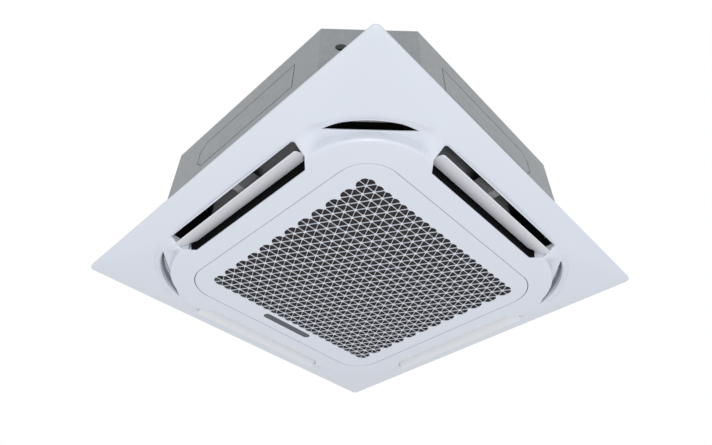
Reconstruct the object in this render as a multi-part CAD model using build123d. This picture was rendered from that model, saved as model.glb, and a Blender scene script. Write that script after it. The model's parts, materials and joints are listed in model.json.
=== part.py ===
from build123d import *
import math
import os

# Ceiling cassette air conditioner, in millimetres. X and Y run along the panel's sides, +Y towards
# the display, +Z up. While the pieces are made, heights are measured from the finished ceiling;
# save() then sets them down with the origin in the middle of the four suspension slots.

os.makedirs("parts", exist_ok=True)

# ---------------------------------------------------------------- driving dimensions
FIT = 0.3                    # gap at a curved or moving neighbour
PIN_CLEARANCE = 0.05         # radial clearance of a pin in its hole
OVER = 1.0                   # how far a cutting shape passes the face it cuts

# suspension
HANGER_HEIGHT = 140.0        # middle of the hanger plates above the ceiling
SLOT_SPACING_X = 780.0
SLOT_SPACING_Y = 680.0
SLOT_WIDTH = 12.0
SLOT_LENGTH = 34.0
HANGER_PLATE = 2.5
HANGER_DROP = 46.0           # height of the leg on the casing
HANGER_FROM = 294.0          # near and far edge of the plate, along Y
HANGER_TO = 366.0
HANGER_REACH = 416.0         # outer edge of the plate, along X

# casing
CASING_WIDTH = 840.0
CASING_CHAMFER = 150.0       # leg of the cut-off corners
CASING_BOTTOM = 10.0
CASING_TOP = 296.0
SHEET = 1.0
TOP_FLANGE = 12.0
BOTTOM_FLANGE = 16.0
FOAM = 10.0
BEAD_LENGTH = 250.0          # stiffening beads pressed into the top plate
BEAD_WIDTH = 16.0
BEAD_HEIGHT = 2.0
BEAD_REACHES = (205.0, 300.0)
SCREW_PLACE = 200.0          # screws of the top plate, each side of a face's middle
SCREW_HEAD_R = 4.5
SCREW_HEAD = 3.0
SCREW_R = 2.0
PANEL_SCREW_PLACE = 120.0    # screws of the panel, to one side of each face's middle
KNOCKOUT_LENGTH = 350.0
KNOCKOUT_HEIGHT = 86.0
KNOCKOUT_MIDDLE = 199.0
KNOCKOUT_SHIFT = -17.0       # towards the nearer corner
KNOCKOUT_LINE = 2.4
KNOCKOUT_DEPTH = 0.5
WIRE_HOLE_R = 13.0
WIRE_HOLE_OFFSET = -60.0     # along the cut-off corner
WIRE_HOLE_HEIGHT = 222.0

# coil
COIL_HALF = 293.0            # middle of the fin pack from the centre
COIL_DEPTH = 36.0
COIL_BEND_R = 80.0
COIL_ROWS = 11
COIL_ROW_PITCH = 21.0
COIL_OPEN = 200.0            # where the pack's two ends stop, beside the pipe corner
HEADER_REACH = 34.0          # header and distributor beyond the pack's ends
END_PLATE = 1.5
END_PLATE_LAP = 3.0          # end plate beyond the fins, each side
HEADER_INSET = 8.0           # header's ends from the fins' ends
HEADER_STUB_R = 3.3
TUBE_R = 4.76
TUBE_WALL = 1.0
HEADER_R = 9.5

# drain pan
PAN_TOP = 70.0
PAN_GAP = 1.5                # round the pan, inside the wall foam
PAN_OPENING = 262.0
PAN_OPENING_R = 30.0
TROUGH_FLOOR = 40.0
TROUGH_SIDE = 8.0            # trough beyond the fin pack, each side
COIL_REST = 6.0              # height of the ribs that the coil stands on
DUCT_INNER = 338.0
DUCT_OUTER = 398.0
DUCT_LENGTH = 410.0
DUCT_WEB = 20.0
DUCT_ROUND = 8.0
REST_PLACES = (-150.0, 0.0, 150.0)             # the coil's ribs, along each side
REST_WIDTH = 20.0
CORNER_DUCT_RADIAL = 443.0
CORNER_DUCT_WIDTH = 34.0
CORNER_DUCT_LENGTH = 150.0

# bell mouth and fan
BELL_PLATE = 3.0
BELL_OUTER_R = 240.0
THROAT_R = 177.0
BELL_LIP_TOP = 110.0
BELL_HALF = 274.5
FAN_R = 245.0
FAN_INLET_R = 186.0
FAN_INLET_BOTTOM = 97.0
FAN_SKIN = 3.0
SHROUD_OUTER_HEIGHT = 142.0
BACK_PLATE_HEIGHT = 258.0
HUB_TOP_R = 120.0
HUB_BOTTOM_R = 88.0
HUB_BOTTOM = 192.0
SHROUD_LIP = 12.0            # straight height of the shroud's inlet
SHROUD_CURVE = ((5.0, 24.0), (16.0, 34.0))     # its next points: reach from the inlet, height
SHROUD_SHOULDER = (34.0, 5.0)                  # reach from the inlet, and distance below the rim
SHROUD_DRAW = 0.8            # share of the skin by which the inlet's outer side stands out
BLADES = 7
BLADE_INNER_R = 138.0
BLADE_ARC_R = 150.0
BLADE_THICK = 6.0            # difference of the blade's two arc radii
SHAFT_R = 6.0
SHAFT_END = 4.0              # shaft beyond its nut
HUB_SLOPE = 8.0              # height and reach of the bevel at the back plate's dip
BOSS_R = 16.0
BOSS_HEIGHT = 9.0
BLADE_SWEEP = 34.0           # degrees from a blade's inner edge back to its outer edge
BLADE_NOSE = 3.6             # thickness of a blade at its inner edge
BLADE_CLEAR = 8.0            # blades above the bell mouth's lip
FAN_NUT_R = 10.0
NUT_HEIGHT = 10.0

# motor
MOTOR_R = 75.0
MOTOR_BOTTOM = 212.0
MOTOR_TOP = 272.0
MOTOR_LUG_R = 92.0
MOTOR_LUGS = 3
GROMMET_R = 11.0
GROMMET_WAIST_R = 7.7
GROMMET_HEIGHT = 16.0
MOUNT_R = 112.0
MOUNT_PLATE = 2.0
STUD_R = 4.0
STUD_END = 2.0               # studs beyond the nuts and the top plate
MOUNT_OPENING_R = 45.0
MOTOR_NOSE = 8.0
MOTOR_NOSE_R = 22.0
MOTOR_ROUND = 7.0
MOTOR_RIBS = 12
MOTOR_RIB_WIDTH = 3.0
LUG_R = 12.0
MOTOR_NUT_R = 7.5
MOTOR_NUT_HEIGHT = 6.0
SHAFT_SEAT = 12.0            # end of the shaft's hole below the motor's top

# panel
PANEL_WIDTH = 950.0
PANEL_CORNER_R = 12.0
PANEL_EDGE = 6.0             # depth of the outer edge below the ceiling
SKIN = 3.0
MOAT_HALF = 411.0
MOAT_R = 230.0
MOAT_DEPTH = 24.0
PLATEAU_HALF = 376.0
PLATEAU_R = 168.0
PLATEAU_DEPTH = 42.0
PANEL_DEPTH = 45.0
PANEL_TOP = 6.0              # height of the panel's seat under the casing
SEAT_WIDTH = 8.0
GASKET = 4.0
OUTLET_LENGTH = 410.0
OUTLET_OUTER = 409.0
OUTLET_INNER = 355.0
OUTLET_CUT = 24.0            # 45 degree cut of the outlet's inner corners
OUTLET_ROUND = 7.0
LINER_THICK = 6.0
LINER_FROM_EDGE = 2.0        # liners start this far above the skin's upper side
LINER_REACH = 14.0           # how far the liner runs out along the 45 degree corners
CORNER_ARC_R = 229.0
CORNER_CHORD = 466.0         # straight inner edge of a corner outlet from the centre
CORNER_COLLAR = 22.0
CORNER_ROOF = 8.0

# intake grille
GRILLE_HALF = 308.0
GRILLE_R = 78.0
GRILLE_GAP = 1.5
GRILLE_EDGE_R = 2.0
POCKET_HALF = 325.0
POCKET_TOP = 22.0            # depth of the ledge over the grille's edge
POCKET_R = 95.0
INTAKE_HALF = 289.0
INTAKE_R = 59.0
STIFFENER_HALF = 286.0
STIFFENER_R = 56.0
STIFFENER_TOP = 33.0         # depth of the stiffening wall's upper edge
PERFORATION_WIDTH = 534.0
PERFORATION_HEIGHT = 511.0
PERFORATION_SHIFT = -7.0
HOLE_PITCH = 40.0
RIB = 4.5
WINDOW_LENGTH = 156.0
WINDOW_WIDTH = 20.0
WINDOW_X = -4.0
WINDOW_Y = 269.0
FILTER_HALF = 278.0
FILTER_BACK = 251.0
FILTER_THICK = 5.0
FILTER_R = 40.0
FILTER_BORDER = 10.0
FILTER_BAR = 6.0
FILTER_CROSS = 93.0          # its long bars from the middle
FILTER_CROSS_SHIFT = -15.0   # the cross bars, towards the front
MESH_INSET = 6.0             # the net runs this far from the frame's edge
MESH_LEVEL = 2.0             # above the grille
MESH_THICK = 0.6
LENS_CLEARANCE = 0.2
LENS_SET = 0.5               # lens behind the grille's front
LENS_FLANGE = 3.0
LENS_FLANGE_THICK = 1.0
LAMP_PLACES = (-50.0, -20.0, 10.0)
LAMP_SIZE = (12.0, 8.0, 3.4)
HINGE_Y = 320.5              # pins of the grille's hinge, behind the panel's lip
HINGE_DEPTH = 38.5
HINGE_X = 200.0
HINGE_PIN_R = 1.4
KNUCKLE_R = 2.8
ARM_WIDTH = 8.0              # of the hinge arms, along X; the rest is measured from the pin
ARM_STUB = 2.2               # half thickness of the arm above its knuckle
ARM_TOP = 14.2
ARM_BAR = 3.0
ARM_LEG_FROM = 13.2          # near and far side of the leg that stands on the grille
ARM_LEG_TO = 17.2
ARM_ROUND = 0.8
ARM_FOOT = 4.0               # height of the foot between leg and stiffening wall
LUG_WIDTH = 3.0
LUG_TOP = 4.0                # above the pin
LUG_REACH = 3.0              # beyond the pin
FRAME_WALL = 2.5
LATCH_X = 180.0
LATCH_Y = 301.0
LATCH_R = 3.5
LATCH_COLLAR = 1.0           # plunger's collar beyond its stem
LATCH_COLLAR_HEIGHT = 3.5
LATCH_TRAVEL = 6.5           # the plunger's whole free stroke, of which 3 mm is the push
LATCH_LENGTH = 18.0          # of the housing, along X
LATCH_WIDTH = 15.0
LATCH_WALL = 1.5
LATCH_DEPTH = 35.0           # the housing's lower face

# louvres
LOUVRE_Y = 381.0
PIVOT_DEPTH = 24.0
LOUVRE_CHORD = 48.0
LOUVRE_THICK = 2.4
LOUVRE_OFFSET = 4.0          # blade below its pivot
LOUVRE_TILT = 31.0           # outer edge down, as set at rest
LOUVRE_BOW = 1.5
LOUVRE_END_GAP = 3.0
LOUVRE_ARM = 2.4
LOUVRE_HUB_R = 4.0           # round ends of the arms, beside the pins
LOUVRE_RIB = 2.0
LOUVRE_PIN_R = 2.5
STEPPER_R = 12.0
STEPPER_LENGTH = 18.0
STEPPER_OFFSET = 6.0         # body above its output shaft
STEPPER_BOSS = 4.0           # length of the boss round the louvre's pin
STEPPER_EAR = 3.0

# electrical box
BOX_X_FROM = -284.0
BOX_X_TO = -200.0
BOX_LENGTH = 400.0
BOX_BOTTOM = -25.0
BOX_WALL = 1.5
BOX_LIP = 6.0                # height of the cover's rim inside the tray
POST_R = 3.0
POST_LENGTH = 12.0           # below the tray's inner top
POST_INSET = 12.0
POST_PLACES = (-150.0, -20.0, 110.0)           # along the box
BOARD_THICK = 1.6
BOARD_INSET = 6.0
BOARD_FROM = -160.0
BOARD_TO = 120.0
TRANSFORMER_PLACE = (14.0, -140.0)             # from the board's side of the box, and along it
TRANSFORMER_SIZE = (26.0, 30.0, 16.4)
RELAY_INSET = 34.0
RELAY_SIZE = (14.0, 14.0, 12.4)
RELAY_PLACES = (-80.0, -60.0, -40.0)
CAPACITOR_R = 9.0
CAPACITOR_LENGTH = 14.4
CAPACITOR_PLACE = (28.0, 40.0)
TERMINAL_INSET = 14.0
TERMINAL_FROM = 140.0
TERMINAL_LENGTH = 26.0
TERMINAL_HEIGHT = 14.0
TERMINALS = 5
TERMINAL_PITCH = 11.5
TERMINAL_CELL = (8.0, 18.0, 6.0)               # of each pocket: along X, along Y, deep

# drain and pipes
GAS_SHIFT = -48.0            # places along the pipe corner's face, from its middle
LIQUID_SHIFT = 0.0
DRAIN_SHIFT = 66.0
GAS_PIPE_R = 7.94
LIQUID_PIPE_R = 4.76
GAS_THREAD_R = 11.1
LIQUID_THREAD_R = 7.95
THREAD_LENGTH = 16.0
PIPE_HEIGHT = 200.0
PIPE_OUT = 46.0              # pipes beyond the casing
PIPE_COVER = 1.5
OPENING_MARGIN = 6.0         # of the pipes' opening, round the larger thread
COVER_LAP = 8.0              # of the cover plate, round the opening
UNION_NUT = 12.0
UNION_NUT_RATIO = 1.3        # width of a union's hexagon to its thread
GAS_ELBOW = 40.0             # the gas pipe's straight run beyond the coil
GAS_BEND_R = 16.0
LIQUID_DIP = 44.0            # lowest run of the liquid pipe below the pipe height
LIQUID_BEND_R = 14.0
CONE_HEIGHT = 22.0           # distributor cone
CONE_DROP = 8.0              # its foot below the pipe height
CAPILLARY_R = 2.0
CAPILLARY_SPREAD = 6.0
CAPILLARY_RISE = 56.0
DRAIN_R = 16.0
DRAIN_LENGTH = 40.0
DRAIN_WALL = 3.0
DRAIN_FLANGE = 6.0
DRAIN_HEIGHT = 214.0
PUMP_R = 27.0
PUMP_FOOT_R = 0.75 * PUMP_R
PUMP_BOTTOM = 92.0
PUMP_TOP = 170.0
SUMP_RADIAL = 400.0          # middle of pump and float from the centre
SUMP_LENGTH = 170.0
SUMP_INWARD = 40.0           # sump's edges from that middle
SUMP_OUTWARD = 34.0
PUMP_FOOT = 14.0             # height of the narrower foot
PUMP_SUCTION = 5.0           # suction pipe's end above the sump's floor
PUMP_STUB_R = 8.0
PUMP_STUB_DROP = 20.0        # outlet stub below the pump's top
HOSE_R = 9.0
HOSE_RUN = 16.0
HOSE_BEND_R = 13.0
BRACKET = 2.0
BRACKET_SETBACK = 20.0       # bracket's shelf in from the pump's inner edge
BRACKET_FROM = -32.0         # bracket's strip beside the pump's middle
BRACKET_TO = -16.0
PUMP_SHIFT = 66.0
FLOAT_SHIFT = -66.0
FLOAT_R = 10.0
FLOAT_HEIGHT = 14.0
FLOAT_TRAVEL = 12.0
STEM_R = 3.0
STEM_FOOT = 3.0

# ---------------------------------------------------------------- shared geometry
PANEL_HALF = PANEL_WIDTH / 2
CASING_HALF = CASING_WIDTH / 2
ROOT2 = math.sqrt(2)
CASING_CORNER = (CASING_WIDTH - CASING_CHAMFER) / ROOT2    # cut-off face from the centre
COIL_INNER = COIL_HALF - COIL_DEPTH / 2
COIL_OUTER = COIL_HALF + COIL_DEPTH / 2
COIL_BOTTOM = TROUGH_FLOOR + COIL_REST
COIL_TOP = COIL_BOTTOM + COIL_ROWS * COIL_ROW_PITCH
OUTER_COLUMN = COIL_HALF + COIL_DEPTH / 4      # the tubes run in two columns
INNER_COLUMN = COIL_HALF - COIL_DEPTH / 4
HEADER_Y = COIL_OPEN + HEADER_REACH
FOAM_INNER = SHEET + FOAM
PLATEAU_SKIN = PLATEAU_DEPTH - SKIN
SIDES = ("back", "left", "front", "right")     # each a quarter turn on from +Y
CORNER_TURN = 45.0                             # the pipe corner, between +X and +Y
DIAGONAL = Plane(origin=(0, 0, 0), z_dir=(1, -1, 0))


def prism(face, low, high):
    """A plan outline extruded between two heights."""
    return extrude(Pos(0, 0, low) * face, high - low)


def square(half, radius):
    """A round-cornered square by its half width."""
    return RectangleRounded(2 * half, 2 * half, radius)


def octagon(inset):
    """The casing's plan, drawn in by a distance."""
    width = CASING_WIDTH - 2 * inset
    leg = CASING_CHAMFER - inset * (2 - ROOT2)
    return chamfer(Rectangle(width, width).vertices(), leg)


def ring(outer, inner, low, high):
    return prism(outer - inner, low, high)


def quarters(shape):
    """The four copies of a shape, each a quarter turn on from +Y."""
    return [Rot(0, 0, 90 * turn) * shape for turn in range(4)]


def at_corner(shape, turn=CORNER_TURN):
    """Something drawn with +X outwards, moved to face a cut-off corner."""
    return Rot(0, 0, turn) * shape


def rod(radius, low, high, x=0.0, y=0.0):
    return Pos(x, y, low) * Cylinder(radius, high - low, align=(Align.CENTER, Align.CENTER, Align.MIN))


def block(x_from, x_to, y_from, y_to, low, high):
    size = (x_to - x_from, y_to - y_from, high - low)
    return Pos(x_from, y_from, low) * Box(*size, align=(Align.MIN, Align.MIN, Align.MIN))


def lathe(*points):
    """A closed outline of (radius, height) points turned about Z."""
    outline = make_face(Polyline(*[(radius, 0, height) for radius, height in points], close=True))
    return revolve(outline, Axis.Z)


def along(path, radius):
    """A round bar along a path of lines and arcs."""
    start = Plane(origin=path @ 0, z_dir=path % 0)
    return sweep(start * Circle(radius), path=path)


def save(name, *shapes):
    """Writes a node, with the suspension slots' middle at the origin."""
    solids = [solid for shape in shapes for solid in shape.solids()]
    placed = [Pos(0, 0, -HANGER_HEIGHT) * solid for solid in solids]
    export_step(placed[0] if len(placed) == 1 else Compound(children=placed), f"parts/{name}.step")


# ---------------------------------------------------------------- casing
def knockout_line():
    """The shallow outline of a duct knock-out in the casing's -X face."""
    outline = Rectangle(KNOCKOUT_LENGTH, KNOCKOUT_HEIGHT)
    outline = chamfer(outline.vertices().sort_by(Axis.X)[:2], KNOCKOUT_HEIGHT / 4)
    line = outline - offset(outline, -KNOCKOUT_LINE, kind=Kind.INTERSECTION)
    face = Plane((-CASING_HALF, KNOCKOUT_SHIFT, KNOCKOUT_MIDDLE), x_dir=(0, -1, 0), z_dir=(-1, 0, 0))
    return extrude(face * line, KNOCKOUT_DEPTH, both=True)


def casing_wall():
    top = CASING_TOP - SHEET
    wall = ring(octagon(0), octagon(SHEET), CASING_BOTTOM, top)
    wall += ring(octagon(0), octagon(TOP_FLANGE), top - SHEET, top)
    wall += ring(octagon(0), octagon(BOTTOM_FLANGE), CASING_BOTTOM, CASING_BOTTOM + SHEET)
    groove = knockout_line()
    wall -= groove
    wall -= mirror(groove, DIAGONAL)
    for opening in wall_openings():
        wall -= opening
    return wall


def pipe_opening():
    """Middle and half width of the opening for the two pipes, along the pipe corner."""
    return (GAS_SHIFT + LIQUID_SHIFT) / 2, (LIQUID_SHIFT - GAS_SHIFT) / 2 + GAS_THREAD_R + OPENING_MARGIN


def wall_openings():
    """Holes for the pipes, the drain and the wires, through wall and foam alike."""
    middle, half = pipe_opening()
    pipes = block(CASING_CORNER - 2 * FOAM, CASING_CORNER + FOAM, middle - half, middle + half,
                  PIPE_HEIGHT - half, PIPE_HEIGHT + half)
    drain = Pos(CASING_CORNER, DRAIN_SHIFT, DRAIN_HEIGHT) * Rot(0, 90, 0) * Cylinder(DRAIN_R + FIT, 4 * FOAM)
    wires = Pos(CASING_CORNER, WIRE_HOLE_OFFSET, WIRE_HOLE_HEIGHT) * Rot(0, 90, 0)
    wires = wires * Cylinder(WIRE_HOLE_R, 4 * FOAM)
    return [at_corner(pipes), at_corner(drain), at_corner(wires, CORNER_TURN + 180)]


def casing_top():
    plate = prism(octagon(0), CASING_TOP - SHEET, CASING_TOP)
    bead = SlotOverall(BEAD_LENGTH, BEAD_WIDTH)
    for turn in range(4):
        for reach in BEAD_REACHES:
            place = Rot(0, 0, 90 * turn) * Pos(0, reach, 0)
            plate += place * prism(bead, CASING_TOP - SHEET, CASING_TOP + BEAD_HEIGHT)
            plate -= place * prism(offset(bead, -SHEET), CASING_TOP - 2 * SHEET, CASING_TOP + BEAD_HEIGHT - SHEET)
    hole = rod(STUD_R + FIT, CASING_TOP - SHEET - OVER, CASING_TOP + OVER)
    for turn in range(MOTOR_LUGS):
        plate -= lug_place(turn) * hole
    return plate


def hanger_brackets():
    """Plates in the four cut-off corners, slotted for the suspension rods."""
    face = CASING_CORNER * ROOT2           # x + y on a cut-off face
    plate_outline = make_face(Polyline((face - HANGER_FROM, HANGER_FROM), (HANGER_REACH, HANGER_FROM),
                                       (HANGER_REACH, HANGER_TO), (face - HANGER_TO, HANGER_TO), close=True))
    half = HANGER_PLATE / 2
    plate = prism(plate_outline, HANGER_HEIGHT - half, HANGER_HEIGHT + half)
    slot = Pos(SLOT_SPACING_X / 2, SLOT_SPACING_Y / 2) * SlotOverall(SLOT_LENGTH, SLOT_WIDTH)
    plate -= prism(slot, HANGER_HEIGHT - HANGER_PLATE, HANGER_HEIGHT + HANGER_PLATE)
    length = (HANGER_TO - HANGER_FROM) * ROOT2
    shift = (HANGER_TO + HANGER_FROM) / ROOT2 - CASING_CORNER
    leg = block(CASING_CORNER, CASING_CORNER + HANGER_PLATE, shift - length / 2, shift + length / 2,
                HANGER_HEIGHT - HANGER_DROP, HANGER_HEIGHT + half)
    bracket = plate + at_corner(leg)
    return [bracket, mirror(bracket, Plane.YZ), mirror(bracket, Plane.XZ),
            mirror(mirror(bracket, Plane.YZ), Plane.XZ)]


def wall_insulation():
    low = CASING_BOTTOM + SHEET
    foam = ring(octagon(SHEET), octagon(FOAM_INNER), low, CASING_TOP - 2 * SHEET - FOAM)
    for opening in wall_openings():
        foam -= opening
    return foam


def top_insulation():
    high = CASING_TOP - 2 * SHEET
    return prism(octagon(SHEET) - Circle(MOUNT_R + 2), high - FOAM, high)


# ---------------------------------------------------------------- fan and motor
def motor_mount():
    """Pressed plate under the casing's top, with the studs that carry the motor."""
    high = CASING_TOP - SHEET
    mount = rod(MOUNT_R, high - MOUNT_PLATE, high)
    mount -= rod(MOUNT_OPENING_R, high - MOUNT_PLATE - OVER, high + OVER)
    stud = rod(STUD_R, MOTOR_TOP - GROMMET_HEIGHT - MOTOR_NUT_HEIGHT - STUD_END, CASING_TOP + STUD_END)
    spacer = rod(STUD_R * 2, MOTOR_TOP, high - MOUNT_PLATE)
    for turn in range(MOTOR_LUGS):
        mount += lug_place(turn) * (stud + spacer)
    return mount


def lug_place(turn):
    return Rot(0, 0, 360 / MOTOR_LUGS * turn) * Pos(MOTOR_LUG_R, 0, 0)


def motor_grommets():
    """Rubber bushes with a waist that holds each motor lug."""
    low, high = MOTOR_TOP - GROMMET_HEIGHT, MOTOR_TOP
    waist_low, waist_high = low + GROMMET_HEIGHT / 3, high - GROMMET_HEIGHT / 3
    bore = STUD_R + PIN_CLEARANCE
    shape = lathe((bore, low), (GROMMET_R, low), (GROMMET_R, waist_low), (GROMMET_WAIST_R, waist_low),
                  (GROMMET_WAIST_R, waist_high), (GROMMET_R, waist_high), (GROMMET_R, high), (bore, high))
    return [lug_place(turn) * shape for turn in range(MOTOR_LUGS)]


def fan_motor():
    """Round housing with a rounded bell, lugs in the grommets and a nose round the shaft."""
    nose, turned = MOTOR_BOTTOM - MOTOR_NOSE, MOTOR_ROUND
    body = lathe((0, MOTOR_TOP), (0, nose), (MOTOR_NOSE_R - 2, nose), (MOTOR_NOSE_R, MOTOR_BOTTOM),
                 (MOTOR_R - turned, MOTOR_BOTTOM), (MOTOR_R, MOTOR_BOTTOM + turned),
                 (MOTOR_R, MOTOR_TOP - turned), (MOTOR_R - turned, MOTOR_TOP))
    waist = GROMMET_HEIGHT / 3
    low = MOTOR_TOP - 2 * waist
    lug = block(MOTOR_R - MOTOR_LUG_R - OVER, 0, -LUG_R, LUG_R, low, low + waist) + rod(LUG_R, low, low + waist)
    lug -= rod(GROMMET_WAIST_R + PIN_CLEARANCE, low - OVER, low + waist + OVER)
    for turn in range(MOTOR_LUGS):
        body += lug_place(turn) * lug
    half = MOTOR_RIB_WIDTH / 2
    rib = block(MOTOR_R - OVER, MOTOR_R + MOTOR_RIB_WIDTH, -half, half, MOTOR_BOTTOM + 2 * turned, low - half)
    for turn in range(MOTOR_RIBS):
        body += Rot(0, 0, 360 / MOTOR_RIBS * (turn + 0.5)) * rib
    return body - rod(SHAFT_R + PIN_CLEARANCE, nose - OVER, MOTOR_TOP - SHAFT_SEAT)


def motor_nuts():
    high = MOTOR_TOP - GROMMET_HEIGHT
    nut = prism(RegularPolygon(MOTOR_NUT_R, 6) - Circle(STUD_R + PIN_CLEARANCE), high - MOTOR_NUT_HEIGHT, high)
    return [lug_place(turn) * nut for turn in range(MOTOR_LUGS)]


def fan_shaft():
    return rod(SHAFT_R, HUB_BOTTOM - NUT_HEIGHT - SHAFT_END, MOTOR_TOP - SHAFT_SEAT - OVER)


def fan_hub():
    """Back plate that dips round the motor, with a boss on the shaft."""
    top, low, skin = BACK_PLATE_HEIGHT, HUB_BOTTOM, FAN_SKIN
    bore = SHAFT_R + PIN_CLEARANCE
    slope = HUB_SLOPE
    return lathe((bore, low), (HUB_BOTTOM_R, low), (HUB_TOP_R - slope, top - slope), (HUB_TOP_R, top), (FAN_R, top),
                 (FAN_R, top + skin), (HUB_TOP_R - skin, top + skin),
                 (HUB_TOP_R - slope - skin * 4 / 3, top - slope + skin), (HUB_BOTTOM_R - skin, low + skin),
                 (BOSS_R, low + skin), (BOSS_R, low + BOSS_HEIGHT), (bore, low + BOSS_HEIGHT))


def shroud_curve(shift):
    """The shroud's section, from the inlet lip out to the rim, moved out by its skin."""
    inlet = FAN_INLET_R + shift * SHROUD_DRAW
    low, high = FAN_INLET_BOTTOM, SHROUD_OUTER_HEIGHT - shift
    reach, below = SHROUD_SHOULDER
    curve = [(inlet + out, low + height) for out, height in SHROUD_CURVE]
    return [(inlet, low), (inlet, low + SHROUD_LIP), *curve, (inlet + reach, high - below), (FAN_R, high)]


def fan_shroud():
    inner = shroud_curve(0)
    outer = [(radius, height) for radius, height in shroud_curve(FAN_SKIN)]
    return lathe(*inner, *reversed(outer))


def fan_blades():
    """Backward-curved blades between the back plate and the shroud."""
    start, nose = Vector(BLADE_INNER_R, 0), Vector(BLADE_INNER_R, BLADE_NOSE)
    end = Vector(FAN_R - FAN_SKIN, 0).rotate(Axis.Z, -BLADE_SWEEP)
    outline = make_face([RadiusArc(start, end, BLADE_ARC_R), Line(start, nose),
                         RadiusArc(nose, end, BLADE_ARC_R - BLADE_THICK)])
    low, inside = BELL_LIP_TOP + BLADE_CLEAR, HUB_TOP_R
    space = lathe((inside, low), (FAN_INLET_R, low), *shroud_curve(0)[2:],
                  (FAN_R, BACK_PLATE_HEIGHT), (inside, BACK_PLATE_HEIGHT))
    blade = prism(outline, FAN_INLET_BOTTOM, BACK_PLATE_HEIGHT) & space
    return [Rot(0, 0, 360 / BLADES * turn) * blade for turn in range(BLADES)]


def fan_nut():
    outline = RegularPolygon(FAN_NUT_R, 6) - Circle(SHAFT_R + PIN_CLEARANCE)
    return prism(outline, HUB_BOTTOM - NUT_HEIGHT, HUB_BOTTOM)


def bell_mouth():
    """Square plate whose throat curves up into the fan's inlet."""
    low, high = CASING_BOTTOM + SHEET, CASING_BOTTOM + SHEET + BELL_PLATE
    reach = BELL_OUTER_R - THROAT_R
    turn_r = reach - BELL_PLATE
    centre = (BELL_OUTER_R, low + reach)
    section = make_face([
        Line((BELL_OUTER_R + OVER, 0, low), (BELL_OUTER_R, 0, low)),
        ThreePointArc((BELL_OUTER_R, 0, low), (centre[0] - reach / ROOT2, 0, centre[1] - reach / ROOT2),
                      (THROAT_R, 0, centre[1])),
        Line((THROAT_R, 0, centre[1]), (THROAT_R, 0, BELL_LIP_TOP)),
        Line((THROAT_R, 0, BELL_LIP_TOP), (THROAT_R + BELL_PLATE, 0, BELL_LIP_TOP)),
        Line((THROAT_R + BELL_PLATE, 0, BELL_LIP_TOP), (THROAT_R + BELL_PLATE, 0, centre[1])),
        ThreePointArc((THROAT_R + BELL_PLATE, 0, centre[1]),
                      (centre[0] - turn_r / ROOT2, 0, centre[1] - turn_r / ROOT2), (BELL_OUTER_R, 0, high)),
        Line((BELL_OUTER_R, 0, high), (BELL_OUTER_R + OVER, 0, high)),
        Line((BELL_OUTER_R + OVER, 0, high), (BELL_OUTER_R + OVER, 0, low)),
    ])
    plate = prism(square(BELL_HALF, PAN_OPENING_R) - Circle(BELL_OUTER_R), low, high)
    return plate + revolve(section, Axis.Z)


# ---------------------------------------------------------------- coil and drain
def coil_band(low, high, grow=0.0):
    """The coil's plan as a band, made wider each side by grow, open at the pipe corner."""
    outer = square(COIL_OUTER + grow, COIL_BEND_R + COIL_DEPTH / 2 + grow)
    inner = square(COIL_INNER - grow, COIL_BEND_R - COIL_DEPTH / 2 - grow)
    band = ring(outer, inner, low, high)
    opening = block(COIL_OPEN, 2 * COIL_HALF, COIL_OPEN, 2 * COIL_HALF, low - 1, high + 1)
    return band - opening


def coil_fins():
    return coil_band(COIL_BOTTOM, COIL_TOP)


def coil_end_plates():
    half = COIL_DEPTH / 2 + END_PLATE_LAP
    plate = block(COIL_OPEN, COIL_OPEN + END_PLATE, COIL_HALF - half, COIL_HALF + half, COIL_BOTTOM, COIL_TOP)
    return [plate, mirror(plate, DIAGONAL)]


def coil_tube_bends():
    """Hairpin bends that join the tubes in pairs outside the end plates."""
    reach = COIL_OPEN + END_PLATE
    bends = []
    for pair in range(COIL_ROWS // 2):
        height = COIL_BOTTOM + COIL_ROW_PITCH * (2 * pair + 0.5)
        radius = COIL_ROW_PITCH / 2
        path = ThreePointArc((reach, OUTER_COLUMN, height), (reach + radius, OUTER_COLUMN, height + radius),
                             (reach, OUTER_COLUMN, height + 2 * radius))
        start = Plane(origin=path @ 0, z_dir=path % 0)
        bend = sweep(start * RegularPolygon(TUBE_R, 6), path=path)
        bends += [bend, mirror(bend, DIAGONAL)]
    return bends


def pan_ducts():
    """The side and corner air ducts of the drain pan, as solids to cut away."""
    low, high = CASING_BOTTOM, PAN_TOP + OVER
    half = (DUCT_LENGTH - DUCT_WEB) / 2
    middle = (DUCT_LENGTH + DUCT_WEB) / 4
    width = DUCT_OUTER - DUCT_INNER
    slot = fillet(Rectangle(half, width).vertices(), DUCT_ROUND)
    pair = [prism(Pos(side * middle, (DUCT_INNER + DUCT_OUTER) / 2) * slot, low, high) for side in (-1, 1)]
    corner = Pos(CORNER_DUCT_RADIAL, 0) * Rot(0, 0, 90) * SlotOverall(CORNER_DUCT_LENGTH, CORNER_DUCT_WIDTH)
    ducts = quarters(pair[0]) + quarters(pair[1])
    return ducts + [at_corner(prism(corner, low, high), CORNER_TURN + 90 * turn) for turn in (1, 2, 3)]


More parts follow.
